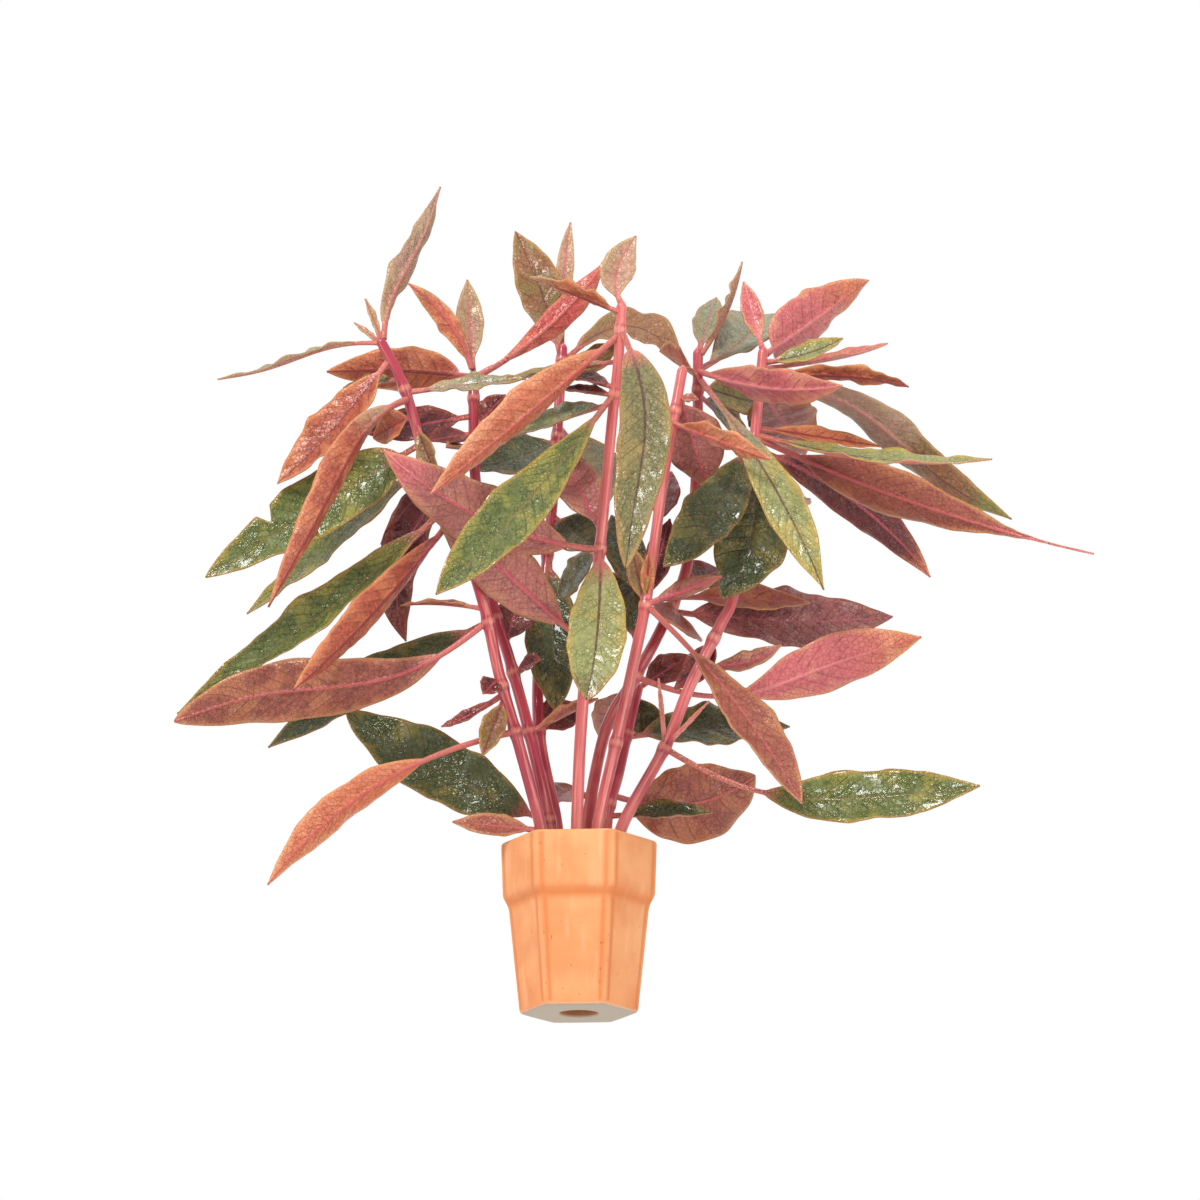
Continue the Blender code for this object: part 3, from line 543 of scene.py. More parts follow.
# %% Leaf colours
LOOKS = {
    "green": [(110, 118, 54), (76, 86, 40), (158, 150, 66), (74, 80, 42),
        (126, 108, 60), (176, 138, 64), 1.0],
    "lime": [(160, 160, 100), (128, 132, 80), (182, 164, 86), (126, 120, 72),
        (98, 62, 50), (188, 156, 72), 0.8],
    "olive": [(134, 126, 76), (102, 94, 54), (162, 140, 82), (98, 82, 50),
        (88, 54, 42), (172, 126, 68), 0.7],
    "dark": [(80, 86, 44), (50, 60, 32), (126, 116, 56), (54, 60, 34),
        (92, 80, 48), (146, 112, 54), 1.0],
    "sage": [(156, 156, 126), (122, 124, 96), (170, 152, 110), (130, 120, 94),
        (176, 118, 104), (176, 140, 98), 0.6],
    "mauve": [(180, 142, 122), (150, 114, 98), (176, 150, 116), (142, 102, 88),
        (198, 124, 112), (178, 138, 104), 0.4],
    "bronze": [(156, 106, 66), (118, 78, 48), (134, 116, 62), (114, 66, 46),
        (112, 58, 46), (184, 132, 74), 0.45],
    "rust": [(188, 92, 62), (146, 64, 44), (210, 124, 82), (116, 44, 36),
        (136, 46, 44), (212, 138, 86), 0.3],
    "orange": [(214, 124, 86), (184, 90, 62), (226, 152, 110), (156, 60, 46),
        (202, 92, 86), (222, 154, 102), 0.3],
    "tan": [(192, 146, 120), (158, 112, 90), (176, 150, 108), (150, 98, 80),
        (196, 110, 98), (200, 158, 114), 0.3],
    "rose": [(176, 106, 94), (142, 76, 70), (194, 130, 104), (130, 60, 58),
        (200, 84, 98), (176, 122, 80), 0.45],
    "pink": [(212, 112, 112), (180, 82, 90), (224, 146, 120), (164, 62, 74),
        (224, 130, 132), (218, 144, 106), 0.4],
    "red": [(204, 86, 76), (170, 58, 56), (220, 118, 94), (146, 42, 44),
        (214, 116, 106), (200, 110, 82), 0.4],
    "wine": [(160, 94, 90), (124, 62, 62), (184, 124, 114), (116, 52, 54),
        (186, 90, 98), (160, 88, 70), 1.0],
    "maroon": [(112, 44, 46), (76, 30, 34), (150, 72, 60), (76, 30, 34),
        (176, 74, 84), (156, 76, 54), 0.8],
    "brown": [(164, 86, 66), (124, 60, 46), (184, 112, 76), (108, 46, 38),
        (190, 88, 88), (194, 132, 86), 0.4],
}
STALK_PINK = rgb(206, 112, 104)
leaf_materials = {}


def leaf_masks(board):
    """Where the midrib, the veins, the edge, the mottles and the patches are, each 0 to 1."""
    along, from_rib, from_edge = board.parts("form")
    patch = board.cloud(8.0, 3.0)
    grain = board.cloud(1.1, 3.0)
    vein = board.step(board.number("vein").pingpong(0.5), 0.02, 0.1, 1.0, 0.0)
    near_edge = board.step(from_edge, 0.0, 4.0, 1.0, 0.0)
    return {
        "along": along,
        "rib": board.step(from_rib / (0.62 - along * 0.4), 0.5, 1.1, 1.0, 0.0),
        "vein": vein * board.step(from_edge, 0.2, 2.0) * board.step(patch, 0.3, 0.6, 0.45, 1.0),
        "edge": board.step(from_edge / (0.35 + patch * 1.6), 0.2, 1.0, 1.0, 0.0),
        "mottle": board.step(grain * 0.6 + patch * 0.4 + board.number("tone") * 0.06, 0.38, 0.66),
        "patch": board.step(patch + near_edge * 0.12 + board.number("tone") * 0.05, 0.5, 0.68),
        "net": board.step(board.cells(1.3), 0.0, 0.1, 1.0, 0.0),
        "grain": grain,
    }


def face_colour(board, look, masks):
    """Mottled tissue and its patches first, then the fine net, the edge, the veins and the
    midrib over them."""
    tissue, mottle, patch, vein, rib, edge = (rgb(*colour) for colour in LOOKS[look][:6])
    return board.layers(
        tissue,
        (masks["mottle"], mottle),
        (masks["patch"] * 0.75, patch),
        (masks["net"] * 0.27, vein),
        (masks["edge"] * 0.8, edge),
        (masks["vein"] * 0.55, vein),
        (masks["rib"] * 0.9, rib),
    )


def leaf_material(upper, under, turns=()):
    """The finish of a leaf with one look above and another below, made once for each kind. A
    turn is a look that takes over on both faces, and the two places along the leaf between
    which it does."""
    name = f"leaf {upper} above {under} below" + "".join(f" {look} {end}" for look, _, end in turns)
    if name in leaf_materials:
        return leaf_materials[name]
    board = Board(bpy.data.materials.new(name))
    masks = leaf_masks(board)
    below = board.number("under")
    colour = board.blend(below, face_colour(board, upper, masks), face_colour(board, under, masks))
    for look, start, end in turns:
        share = board.step(masks["along"] + (masks["grain"] - 0.5) * 0.2, start, end)
        colour = board.blend(share, colour, face_colour(board, look, masks))
    colour = board.blend(board.step(board.number("blade"), 0.0, 0.1, 0.8, 0.0), colour, STALK_PINK)
    film = board.step(board.cloud(5.0, 3.0), 0.36, 0.56)
    wet = film * (LOOKS[upper][6] + below * (LOOKS[under][6] - LOOKS[upper][6]))
    relief = masks["grain"] * 0.9 - masks["net"] * 0.4 - masks["vein"] * 0.35
    relief = relief * (0.55 + wet * 1.05)
    leaf_materials[name] = board.finish(
        Base_Color=colour,
        Roughness=0.46 - wet * 0.34,
        Coat_Weight=wet * 0.35,
        Coat_Roughness=0.1,
        Normal=board.bump(relief, 0.3),
    )
    return leaf_materials[name]


print(len(LOOKS), "looks")

# %% [markdown]
# ## The large leaves
# Forty-nine leaves are large enough to be pieces of their own. Each row of the table gives the
# stem and the height of the stalk on it, the tip, how far the middle bows off the straight
# line, the width, the way the upper face looks, the roll in degrees, the stalk's share of the
# length, and the looks above and below. They are the values of the frame's own leaves, so each
# fine leaf lies where its solid is, and takes its place. What sets single leaves apart, such as
# a sway, a fold or a tear, is in a second table, and a third says where a leaf changes its look.

# %% Table of the large leaves
LEAVES = [
    ("a1", 179, (-37, -4, 222.5), (-1.5, 0, -1.5), 8.5, (-0.75, 0.6, 0.2), 40, 0.08, "bronze", "tan"),
    ("a2", 179, (-95.5, -6, 169), (0.5, 0, 1), 7, (0, -0.2, 1), 20, 0.12, "sage", "tan"),
    ("a3", 174, (-79, -14, 138.5), (0.5, 0, -1.5), 14, (-0.3, -1, 0.5), 30, 0.08, "rust", "brown"),
    ("a4", 163, (-80, -38, 99.5), (2, -6, 9), 12, (-0.5, 0.7, 0.45), 70, 0.12, "olive", "rust"),
    ("a5", 165, (-14, -14, 167), (-0.5, 0, 0), 6.5, (0, -0.8, 0.6), 30, 0.15, "sage", "rose"),
    ("a6", 151, (-97.5, -15, 113), (0, 0, 0), 18.5, (0.1, -1, 0.35), 20, 0.08, "green", "rose"),
    ("a7", 146, (-88.5, 26, 113), (0, 0, -0.5), 12, (0, -0.8, 0.6), 25, 0.08, "green", "maroon"),
    ("a8", 134, (-105.5, 3, 80.5), (0.5, 0, -3), 13, (0.2, -0.75, 0.65), 35, 0.08, "green", "brown"),
    ("a9", 131, (-73.5, -38, 77.5), (0, -2, -3), 12, (-0.5, 0.7, 0.5), 60, 0.08, "olive", "rust"),
    ("a10", 103, (-105.5, -10, 75.5), (0.5, 0, -4), 16.5, (0, 1, 0.35), 25, 0.15, "olive", "brown"),
    ("a11", 74, (-79.5, -36, 27), (-4.5, 0, 5.5), 11, (-0.3, 0.8, 0.5), 45, 0.3, "bronze", "orange"),
    ("b1", 176, (-45.5, 2, 197.5), (2, 0, 1.5), 6.5, (-0.5, 0.6, 0.5), 50, 0.08, "rust", "orange"),
    ("b2", 174, (6.5, 8, 205), (2, 0, -2), 8.5, (0.4, 0.7, 0.5), 50, 0.08, "rust", "red"),
    ("b3", 174, (-67, 3, 173.5), (0, 0, 1), 13, (0, 0.9, 0.5), 30, 0.08, "bronze", "rust"),
    ("b4", 150, (-46, 20, 104), (-9, 0, 0.5), 13, (-0.3, -0.9, 0.2), 30, 0.08, "maroon", "rose"),
    ("b5", 107, (-82.5, 26, 76.5), (-1, 0, 1), 13.5, (0, -0.9, 0.4), 25, 0.1, "dark", "rose"),
    ("b6", 52, (-61.5, 14, 83.5), (-0.5, 0, -2), 19, (0, -0.95, 0.2), 25, 0.08, "dark", "bronze"),
    ("c1", 187, (-17.5, 40, 223), (1, -2.5, -0.5), 13, (0, -1, 0.2), 25, 0.06, "bronze", "rose"),
    ("c2", 185, (27, 22, 180.5), (2, 0, 10), 15, (0, -0.7, 0.7), 25, 0.08, "bronze", "brown"),
    ("c3", 162, (-29, 18, 150.5), (3, 0, -0.5), 19, (0, -0.8, 0.6), 25, 0.08, "dark", "maroon"),
    ("c4", 129, (-6, 8, 82), (0, -3, -2.5), 15, (0, -1, 0.2), 25, 0.08, "dark", "rose"),
    ("c5", 166, (3.5, 58, 147.5), (2.5, 0, 0.5), 20, (0, 0.3, 1), 25, 0.1, "green", "sage"),
    ("d1", 184, (-13, -24, 192), (0.5, 0, 0), 8, (0, 0.1, 1), 30, 0.08, "tan", "rust"),
    ("d2", 177.5, (-38.5, -36, 130), (1.5, 0, 1), 15, (-0.4, 0.6, 0.7), 55, 0.1, "olive", "orange"),
    ("d3", 179, (12, -50, 107), (5, -8, -4), 14, (0, -1, 0.35), 20, 0.08, "olive", "rose"),
    ("d4", 162, (-36.5, -50, 100), (0, -3, -3.5), 17, (-0.1, -1, 0.35), 30, 0.08, "green", "rose"),
    ("d5", 121, (-51, -26, 144.5), (-1.5, -1, -5.5), 17.5, (0.1, 0.9, 0.5), 20, 0.12, "olive", "rose"),
    ("d6", 96, (-39, -15, 134.5), (0, 0, -1), 16, (0, 0.9, 0.4), 20, 0.15, "dark", "rose"),
    ("d7", 121.5, (2, -38, 75), (1, -5, -3.5), 15.5, (0, -1, 0.35), 20, 0.06, "lime", "rose"),
    ("e1", 178, (69, -20, 163.5), (0, -5, -4), 11.5, (0, 0.8, 0.6), 25, 0.06, "olive", "pink"),
    ("e2", 176, (63.5, -28, 106.5), (2, -10, -1.5), 11.5, (-0.2, -0.9, 0.4), 25, 0.08, "lime", "rose"),
    ("e3", 183, (43.5, 14, 207), (1.5, 0, -0.5), 7, (-0.95, 0.05, 0.3), 40, 0.06, "sage", "tan"),
    ("e4", 179, (49, 48, 201.5), (3.5, 0, 0.5), 18, (0, -0.8, 0.6), 15, 0.08, "sage", "brown"),
    ("e5", 92, (90, 2, 101), (0.5, 0, -7), 15.5, (0, 0.85, 0.5), 25, 0.33, "olive", "pink"),
    ("e6", 111, (84, 40, 115.5), (0, 0, -2), 18.5, (0, -0.95, 0.3), 25, 0.08, "wine", "rose"),
    ("f1", 108, (57, -44, 46.5), (2, -2, 1), 14, (0.4, -0.9, 0.3), 25, 0.25, "brown", "rose"),
    ("f2", 158.5, (50, -22, 143), (-1, -4, -1), 9, (0, 0.6, 0.8), 35, 0.08, "rust", "orange"),
    ("g1", 60, (46.5, 24, 68.5), (1.5, 0, -5), 22, (0, 0.9, 0.3), 25, 0.08, "olive", "brown"),
    ("g2", 78, (56, 32, 83.5), (-0.5, 0, 0.5), 17, (0, -0.8, 0.6), 25, 0.08, "dark", "rose"),
    ("h1", 181, (78, 34, 207.5), (1.5, 0, 1), 17, (-0.3, 0.8, 0.6), 45, 0.06, "rust", "pink"),
    ("h2", 174.5, (87, -4, 167.5), (3.5, 0, 1.5), 7, (0, 0.5, 0.85), 30, 0.08, "bronze", "rust"),
    ("h3", 172, (116, 36, 141.5), (2, 0, 4), 12.5, (0.3, 0.7, 0.8), 30, 0.1, "olive", "mauve"),
    ("h4", 158, (107.5, -28, 141.5), (1, 0, -3.5), 10, (0, -0.55, 0.85), 30, 0.08, "lime", "pink"),
    ("h5", 157, (135.5, -2, 122.5), (-1, 0, -2.5), 15.5, (0, 0.7, 0.6), 30, 0.1, "bronze", "brown"),
    ("h6", 154, (94, 36, 125.5), (2.5, 0, 3.5), 11.5, (0, 0.8, 0.5), 25, 0.08, "olive", "maroon"),
    ("h7", 171, (61, 46, 162), (0, 0, 0), 19, (0, 0.7, 0.7), 25, 0.08, "olive", "rose"),
    ("h8", 156, (22, -12, 116.5), (1, -5, -4), 16, (-0.1, -1, 0.3), 20, 0.08, "dark", "maroon"),
    ("h9", 149, (39, -4, 109), (3, -3, -1), 21, (0.1, -1, 0.2), 20, 0.08, "dark", "rose"),
    ("h10", 70, (103.5, -26, 55), (1, 0, -8.5), 16, (0, -0.95, 0.3), 20, 0.3, "green", "rose"),
]
LEAF_DETAILS = {
    "a1": {"sway": -1.0}, "a2": {"sway": 1.0}, "a3": {"pucker": 0.35},
    "a4": {"sway": 1.0, "pucker": 0.5, "wave": 0.3},
    "a6": {"blade": (0.68, 0.75), "notch": (1, 0.66, 0.55)}, "a8": {"fold": 12, "wave": 0.9},
    "a9": {"pucker": 0.3, "wave": 0.3}, "a10": {"blade": (1.1, 0.7), "sway": -3.0, "wave": 1.0},
    "b2": {"blade": (1.4, 1.0)}, "b3": {"blade": (0.72, 0.8)},
    "b6": {"blade": (0.95, 0.72), "wave": 1.2}, "c2": {"wave": 1.0},
    "d2": {"pucker": 0.45, "wave": 0.4}, "d3": {"blade": (0.72, 0.68), "sway": -1.5, "wave": 0.5},
    "d4": {"blade": (1.2, 0.85), "wave": 0.5}, "d7": {"blade": (1.02, 0.7), "wave": 0.4},
    "e2": {"blade": (1.35, 1.1), "twist": 30}, "e4": {"blade": (1.5, 0.6), "fold": 15},
    "e5": {"blade": (1.1, 0.9), "sway": 2.5}, "e6": {"pucker": 0.4, "wave": 1.1},
    "f1": {"blade": (1.1, 0.85)}, "f2": {"pucker": 0.4}, "g1": {"blade": (1.0, 0.7), "wave": 1.2},
    "h1": {"blade": (0.55, 0.75)}, "h3": {"sway": -3.0},
    "h5": {"blade": (0.6, 2.6), "wave": 1.1, "ripples": 2.2}, "h9": {"hook": 2.0, "wave": 1.2},
    "h10": {"sway": 1.5, "wave": 0.9},
}
TURNS = {
    "a1": [("mauve", 0.2, 0.7)], "a4": [("tan", 0.42, 0.2)], "a5": [("olive", 0.7, 1.0)],
    "a9": [("maroon", 0.4, 0.05)], "a10": [("rose", 0.4, 0.1)], "c1": [("sage", 0.4, 0.15)],
    "d1": [("tan", 0.6, 0.95)], "d5": [("pink", 0.72, 0.9)], "e2": [("sage", 0.5, 0.3)],
    "d7": [("rose", 0.24, 0.06), ("olive", 0.7, 0.95)], "e5": [("orange", 0.7, 1.0)],
    "h1": [("orange", 0.35, 0.85)], "h2": [("maroon", 0.6, 1.0)],
    "h3": [("bronze", 0.45, 0.65), ("green", 0.8, 0.92)],
    "h5": [("maroon", 0.3, 0.12), ("pink", 0.68, 0.82)], "h6": [("orange", 0.82, 1.0)],
}

# %% [markdown]
# ## Making the large leaves
# One leaf is made like the next, so a loop goes through the table. A row without its name and
# looks is the leaf's shape.

# %% Make the large leaves
LEAF_ROOT = 0.8


def add_leaf(row):
    """One large leaf, which stands for the solid of the same name."""
    name, *shape, upper, under = row
    more = {**PLAIN, **LEAF_DETAILS.get(name, {})}
    rings, numbers = leaf_rings(name[0], LEAF_ROOT, shape, more, LEAF_ROWS, LEAF_COLUMNS)
    material = leaf_material(upper, under, TURNS.get(name, ()))
    piece = add_mesh(f"joyweed_{name}", rings, numbers, [material])
    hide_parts(f"leaf_{name}")
    return piece


large = [add_leaf(row) for row in LEAVES]
print(len(large), "large leaves")

# %% [markdown]
# ## The small leaves and buds
# Young leaves and side buds are too small to be handled alone. They stay with their stem, so
# all of one stem make one piece, with a finish for each look. Their shape is the same sheet,
# with fewer points: nobody sees more than thirty rows on a leaf of fifteen millimetres. A row
# gives the height on the stem, the tip, the width, the way the face looks, the roll, the look
# and, where there is one, the bow.

# %% Table of the small leaves
SMALL_LEAVES = {"a": [
    (179, (-56.5, -10, 190), 2.5, (0.5, -0.8, 0), 30, "tan"),
    (178.5, (-59.5, -6, 184.5), 2, (0.5, -0.8, 0), 30, "tan"),
    (156, (-37, -16, 139), 6, (-0.5, -0.8, 0), 40, "bronze"),
    (107, (-47, 4, 110), 5, (0, -0.3, 1), 40, "brown", (-0.5, 0, 1)),
    (88, (-25, -10, 83), 6.5, (0, -1, 0.2), 30, "maroon"),
    (84, (-36, -2, 76), 4, (0, -0.8, 0.5), 40, "maroon", (-1, 0, -1.5)),
    (83, (-25, -14, 65.5), 7, (0, -1, 0.2), 30, "bronze"),
    (169, (-62.5, 1, 168.5), 6, (0, -0.8, 0.5), 30, "olive"),
    (159, (-54.5, 2, 155), 10, (-0.3, -0.9, 0.2), 30, "rust"),
    (48, (-33, -2, 50.5), 7, (0, -0.9, 0.3), 25, "brown"),
], "b": [
    (176, (-30, 14, 202), 7.5, (0, -1, 0), 20, "tan"),
    (163, (-56.5, 3, 156.5), 11, (0, -1, 0.3), 25, "maroon"),
    (158, (-40, -1, 153.5), 8, (0, -0.8, 0.5), 30, "maroon"),
    (154, (-35, -4, 151), 6, (0, -0.5, 0.8), 50, "brown"),
    (92, (-10, -2, 94), 8, (0, -0.8, 0.5), 30, "maroon"),
    (76, (5, 0, 84), 7, (0, -0.6, 0.8), 40, "brown"),
    (150, (-53, 26, 132), 12, (0, -1, 0.2), 25, "maroon"),
    (160, (-19.5, 6, 168), 8, (0, -0.8, 0.5), 30, "maroon"),
    (100, (-16, 12, 113.5), 12, (0, -1, 0.1), 30, "maroon"),
], "c": [
    (189.5, (-2.5, 38, 225), 5, (0, -1, 0), 25, "tan", (-0.5, 0, 1.5)),
    (140, (6, 14, 127), 15, (0, -1, 0.3), 25, "dark"),
    (58, (-1, 27, 66), 12, (0, -1, 0.3), 25, "brown"),
    (178, (11.5, 26, 187.5), 10, (0, -0.8, 0.5), 25, "bronze"),
    (78, (-1.5, 18, 87), 11, (0, -1, 0.2), 25, "maroon"),
], "d": [
    (186.5, (15, -14, 206), 9.5, (0, -1, 0), 25, "tan", (-3, 0, -1)),
    (171, (-20, -3, 169.5), 11, (0, -0.5, 0.85), 25, "olive"),
    (164, (-5, -6, 171), 7, (0, -0.6, 0.8), 30, "maroon"),
    (162, (-5, -8, 166), 6, (0, -0.6, 0.8), 30, "maroon"),
    (160, (-22, 6, 155.5), 14, (0, -0.7, 0.7), 25, "green"),
    (121, (-6, 8, 113), 10, (0, -1, 0.3), 25, "dark"),
    (126, (-6, 2, 152.5), 13, (0, -0.9, 0.3), 25, "rose"),
], "e": [
    (184, (37, 37, 203.5), 8.5, (0, -0.8, 0.6), 30, "sage"),
    (177, (21.5, 6, 180), 13, (0, -0.8, 0.5), 40, "brown"),
    (172, (47, 36, 161), 15, (0, -0.8, 0.6), 25, "olive"),
    (115, (61.5, 24, 115.5), 11, (0, -0.8, 0.6), 25, "brown"),
    (118, (38, 30, 126), 12, (0, -1, 0.3), 25, "maroon"),
    (174, (50.5, 32, 171.5), 12, (0, -0.9, 0.3), 25, "olive"),
], "f": [
    (166, (31.5, -4, 164), 3, (0, -1, 0.2), 30, "rose"),
    (167, (34, 12, 144.5), 17, (0.2, 0.9, 0), 25, "rose"),
    (109, (18.4, -10, 121), 4, (0, -1, 0), 30, "rust"),
    (108.5, (37.5, -10, 114.5), 6, (0, 0.8, 0.5), 60, "rose"),
    (108, (13.7, -10, 123), 6, (0, -1, 0), 30, "bronze"),
    (109, (8.5, 12, 136.5), 11, (0, -1, 0.2), 25, "dark"),
    (108, (32.5, 14, 103), 15, (0, -0.8, 0.6), 25, "brown"),
    (130, (24.5, 18, 150), 8, (0, -1, 0.2), 25, "maroon"),
    (109, (24, 8, 134.5), 8, (0, -1, 0.2), 25, "maroon"),
    (98, (8.5, 12, 121), 10, (0, -1, 0.2), 25, "dark"),
], "g": [
    (93, (5, 44, 84), 13, (0, 0.2, 1), 25, "dark"),
    (91, (16, 26, 80), 12, (0, -1, 0.3), 25, "dark"),
    (54, (35, 3, 54), 9, (0, -0.7, 0.7), 45, "dark"),
    (62, (5, 24, 61.5), 12, (0, -1, 0.3), 25, "maroon"),
    (93, (29.5, 32, 103), 9, (0, -1, 0.2), 25, "maroon"),
], "h": [
    (182.5, (44, 16, 202), 6, (0, -1, 0), 30, "pink"),
    (177, (82.5, 20, 186), 8, (0, -0.4, 0.9), 30, "pink", (3.5, 0, -0.5)),
    (178.5, (70, 4, 183), 8, (0, -0.8, 0.5), 30, "lime", (1, 0, -1)),
    (147, (61, 40, 146.5), 15, (0, -0.8, 0.6), 25, "olive"),
    (101, (25, 6, 88), 8, (0, -1, 0.2), 30, "maroon", (1.5, 0, -0.5)),
    (92.5, (53, -6, 97), 7, (0, -0.8, 0.5), 30, "rose", (1, 0, -2)),
    (71, (20.8, -6, 88), 1.2, (0, -1, 0), 10, "pink"),
    (71, (34, -8, 81.5), 1.2, (0, -1, 0), 10, "pink"),
    (160, (80.5, 24, 158.5), 7, (0, -0.8, 0.5), 30, "rust"),
]}
UNDER_LOOKS = {"olive": "rose", "green": "rose", "dark": "rose", "lime": "rose", "sage": "rose",
               "bronze": "brown"}

# %% [markdown]
# ## Making the small leaves
# Each leaf's faces count on from the points before it, so that one mesh holds them all. Every
# face also gets the number of its leaf's finish, as a mesh can wear several.

# %% Make the small leaves
SMALL_ROOT = 0.4
SMALL_STALK = 0.12
SMALL_PLAIN = {**PLAIN, "pucker": 0.12, "wave": 0.3}


def add_small_leaves(letter):
    """All the small leaves of one stem as one piece, each with its own finish."""
    grown, looks, finish = [], [], []
    for height, tip, width, face, roll, look, *bow in SMALL_LEAVES[letter]:
        shape = (height, tip, bow[0] if bow else (0, 0, 0), width, face, roll, SMALL_STALK)
        grown.append(leaf_rings(letter, SMALL_ROOT, shape, SMALL_PLAIN, SMALL_ROWS, SMALL_COLUMNS))
        if look not in looks:
            looks.append(look)
        finish.append(looks.index(look))
    points = np.array([rings for rings, _ in grown])
    numbers = {key: np.array([carried[key] for _, carried in grown]) for key in grown[0][1]}
    count, rows, around = points.shape[:3]
    quads = tube_faces(rows, around)
    faces = np.vstack([quads + rows * around * index for index in range(count)])
    materials = [leaf_material(look, UNDER_LOOKS.get(look, look)) for look in looks]
    piece = add_mesh(f"small_leaves_{letter}", points, numbers, materials, faces,
                     np.repeat(finish, len(quads)))
    return count


print(sum(add_small_leaves(letter) for letter in STEM_PATHS), "small leaves")

# %% [markdown]
# ## The stems
# A stem is a tube along its path. It tapers a little, has low ridges along it, and swells where
# leaves sit, at the nodes. The rings are square to the path, and the last ones close in to a
# round end. Its red is not even: it is streaked lengthwise, painted shade darkens a band beside
# each node, and the node itself wears a pale ring. Noise in space would cross a leaning stem
# aslant, so the mesh carries a place of its own, as if the stem stood straight, and the
# streaks follow that.

# %% Stem shape
RING_STEP = 0.6
NODE_SWELL = 0.38
NODE_HALF = 1.5
RIDGES = 5
RIDGE_DEPTH = 0.035
ROUND_END = 1.6


def stem_rings(letter, around=20):
    """Circles of changing radius carried along the stem's path, and the numbers for the finish."""
    top = STEM_PATHS[letter][-1][2]
    heights = np.append(np.arange(STEM_FOOT, top, RING_STEP), top)
    axis = stem_points(letter, heights)
    along = unit(np.gradient(axis, axis=0))
    side = unit(np.cross(along, (0, 1, 0)))
    front = np.cross(along, side)
    share = (heights - STEM_FOOT) / (top - STEM_FOOT)
    radius = STEM_RADIUS_FOOT + (STEM_RADIUS_TOP - STEM_RADIUS_FOOT) * share
    nodes = np.array(STEM_NODES[letter])
    off = np.abs(heights[:, None] - nodes[None, :]).min(axis=1)
    radius = radius + NODE_SWELL * np.exp(-(off / NODE_HALF) ** 2)
    radius = radius * np.sqrt(np.clip((top - heights + 0.05) / ROUND_END, 0, 1))
    turn = np.linspace(0, 2 * np.pi, around, endpoint=False)
    ridged = radius[:, None] * (1 + RIDGE_DEPTH * np.cos(RIDGES * turn))
    height = heights[:, None] + 0 * ridged
    own = np.stack([ridged * np.cos(turn), ridged * np.sin(turn), height], axis=-1)
    rings = axis[:, None, :] + own[..., :1] * side[:, None, :] + own[..., 1:2] * front[:, None, :]
    return rings, {"height": height, "off": off[:, None] + 0 * ridged, "own": own * MM}


def stem_material():
    """Crimson to pink with lengthwise streaks, browner near the pot, and a pale ring at a node,
    with painted shade in a darker red band beside it.
    """
    board = Board(bpy.data.materials.new("stem"))
    height, off, own = board.number("height"), board.number("off"), board.vector("own")
    streaks = board.cloud(1.0, 3.0, (1, 1, 0.05), own)
    lines = board.cloud(0.5, 2.0, (1, 1, 0.03), own)
    patch = board.cloud(12.0, 2.0)
    colour = board.layers(
        rgb(216, 106, 104),
        (board.step(patch + board.number("tone") * 0.3, 0.3, 0.75), rgb(174, 54, 72)),
        (board.step(streaks, 0.5, 0.66) * 0.6, rgb(234, 150, 136)),
        (board.step(lines, 0.55, 0.7) * 0.5, rgb(142, 34, 52)),
        (board.step(height, 40.0, 60.0, 0.5, 0.0), rgb(206, 120, 96)),
        (board.step(off, 0.2, 0.9, 0.5, 0.0), rgb(226, 150, 122)),
        # painted shade: a darker red band just beside each node
        (board.step((off - 1.3).absolute(), 0.0, 0.6, 0.4, 0.0), rgb(140, 44, 50)),
    )
    grain = board.cloud(0.6, 2.0, (1, 1, 0.2), own)
    return board.finish(Base_Color=colour, Roughness=0.3, Coat_Weight=0.3, Coat_Roughness=0.1,
                        Normal=board.bump(streaks * 0.7 + grain * 0.3, 0.15))


# %% [markdown]
# ## Making the stems
# All stems share one finish. Each gets a tone, from pale to deep, as they differ in the picture,
# and starts at another place in the noise, so that no two wear the same streaks.

# %% Make the stems
STREAK_SHIFT = 20 * MM
STEM_TONES = {"a": 1, "b": 1, "c": 1, "d": -1, "e": 0.2, "f": -0.4, "g": 0.6, "h": -0.2}
stem_finish = stem_material()
for index, letter in enumerate(STEM_PATHS):
    rings, numbers = stem_rings(letter)
    numbers["own"] += (STREAK_SHIFT * index, 0, 0)
    numbers["tone"] = np.full(rings.shape[:2], STEM_TONES[letter])
    faces = tube_faces(*rings.shape[:2])[:, ::-1]
    piece = add_mesh(f"joyweed_stem_{letter}", rings, numbers, [stem_finish], faces)
    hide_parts(f"stem_{letter}")
print(len(STEM_PATHS), "stems")

# %% [markdown]
# ## The pot
# The pot was pressed in a mould: six flat sides with soft corners, a collar, and a round hole
# in the floor. Its skin is one closed surface. A profile runs from the hole along the underside,
# up the outside, over the rim, down the inside and back to the hole, and it is carried round
# the pot. Near the hole the section is a circle and elsewhere a soft hexagon: six half-planes
# joined by a power sum, where a higher power makes a sharper corner.

# %% Pot shape
CORNER_POWER = 46.0
FURROW_OFF, FURROW_HALF, FURROW_DEPTH = 4.5, 2.2, 0.16
COLLAR_FOOT, COLLAR_HALF, COLLAR_DEPTH = 29.2, 1.5, 0.1
POT_PROFILE = [
    (5.0, 0.0, 0, 0.7), (15.6, 0.0, 1, 1.3), (18.6, 28.0, 1, 1.2), (20.2, 31.0, 1, 1.0),
    (20.7, 45.5, 1, 1.2), (17.0, 45.5, 1, 1.0), (17.0, 34.0, 1, 1.5), (14.9, 28.0, 1, 1.5),
    (12.3, 4.5, 1, 1.5), (5.0, 4.5, 0, 0.7),
]


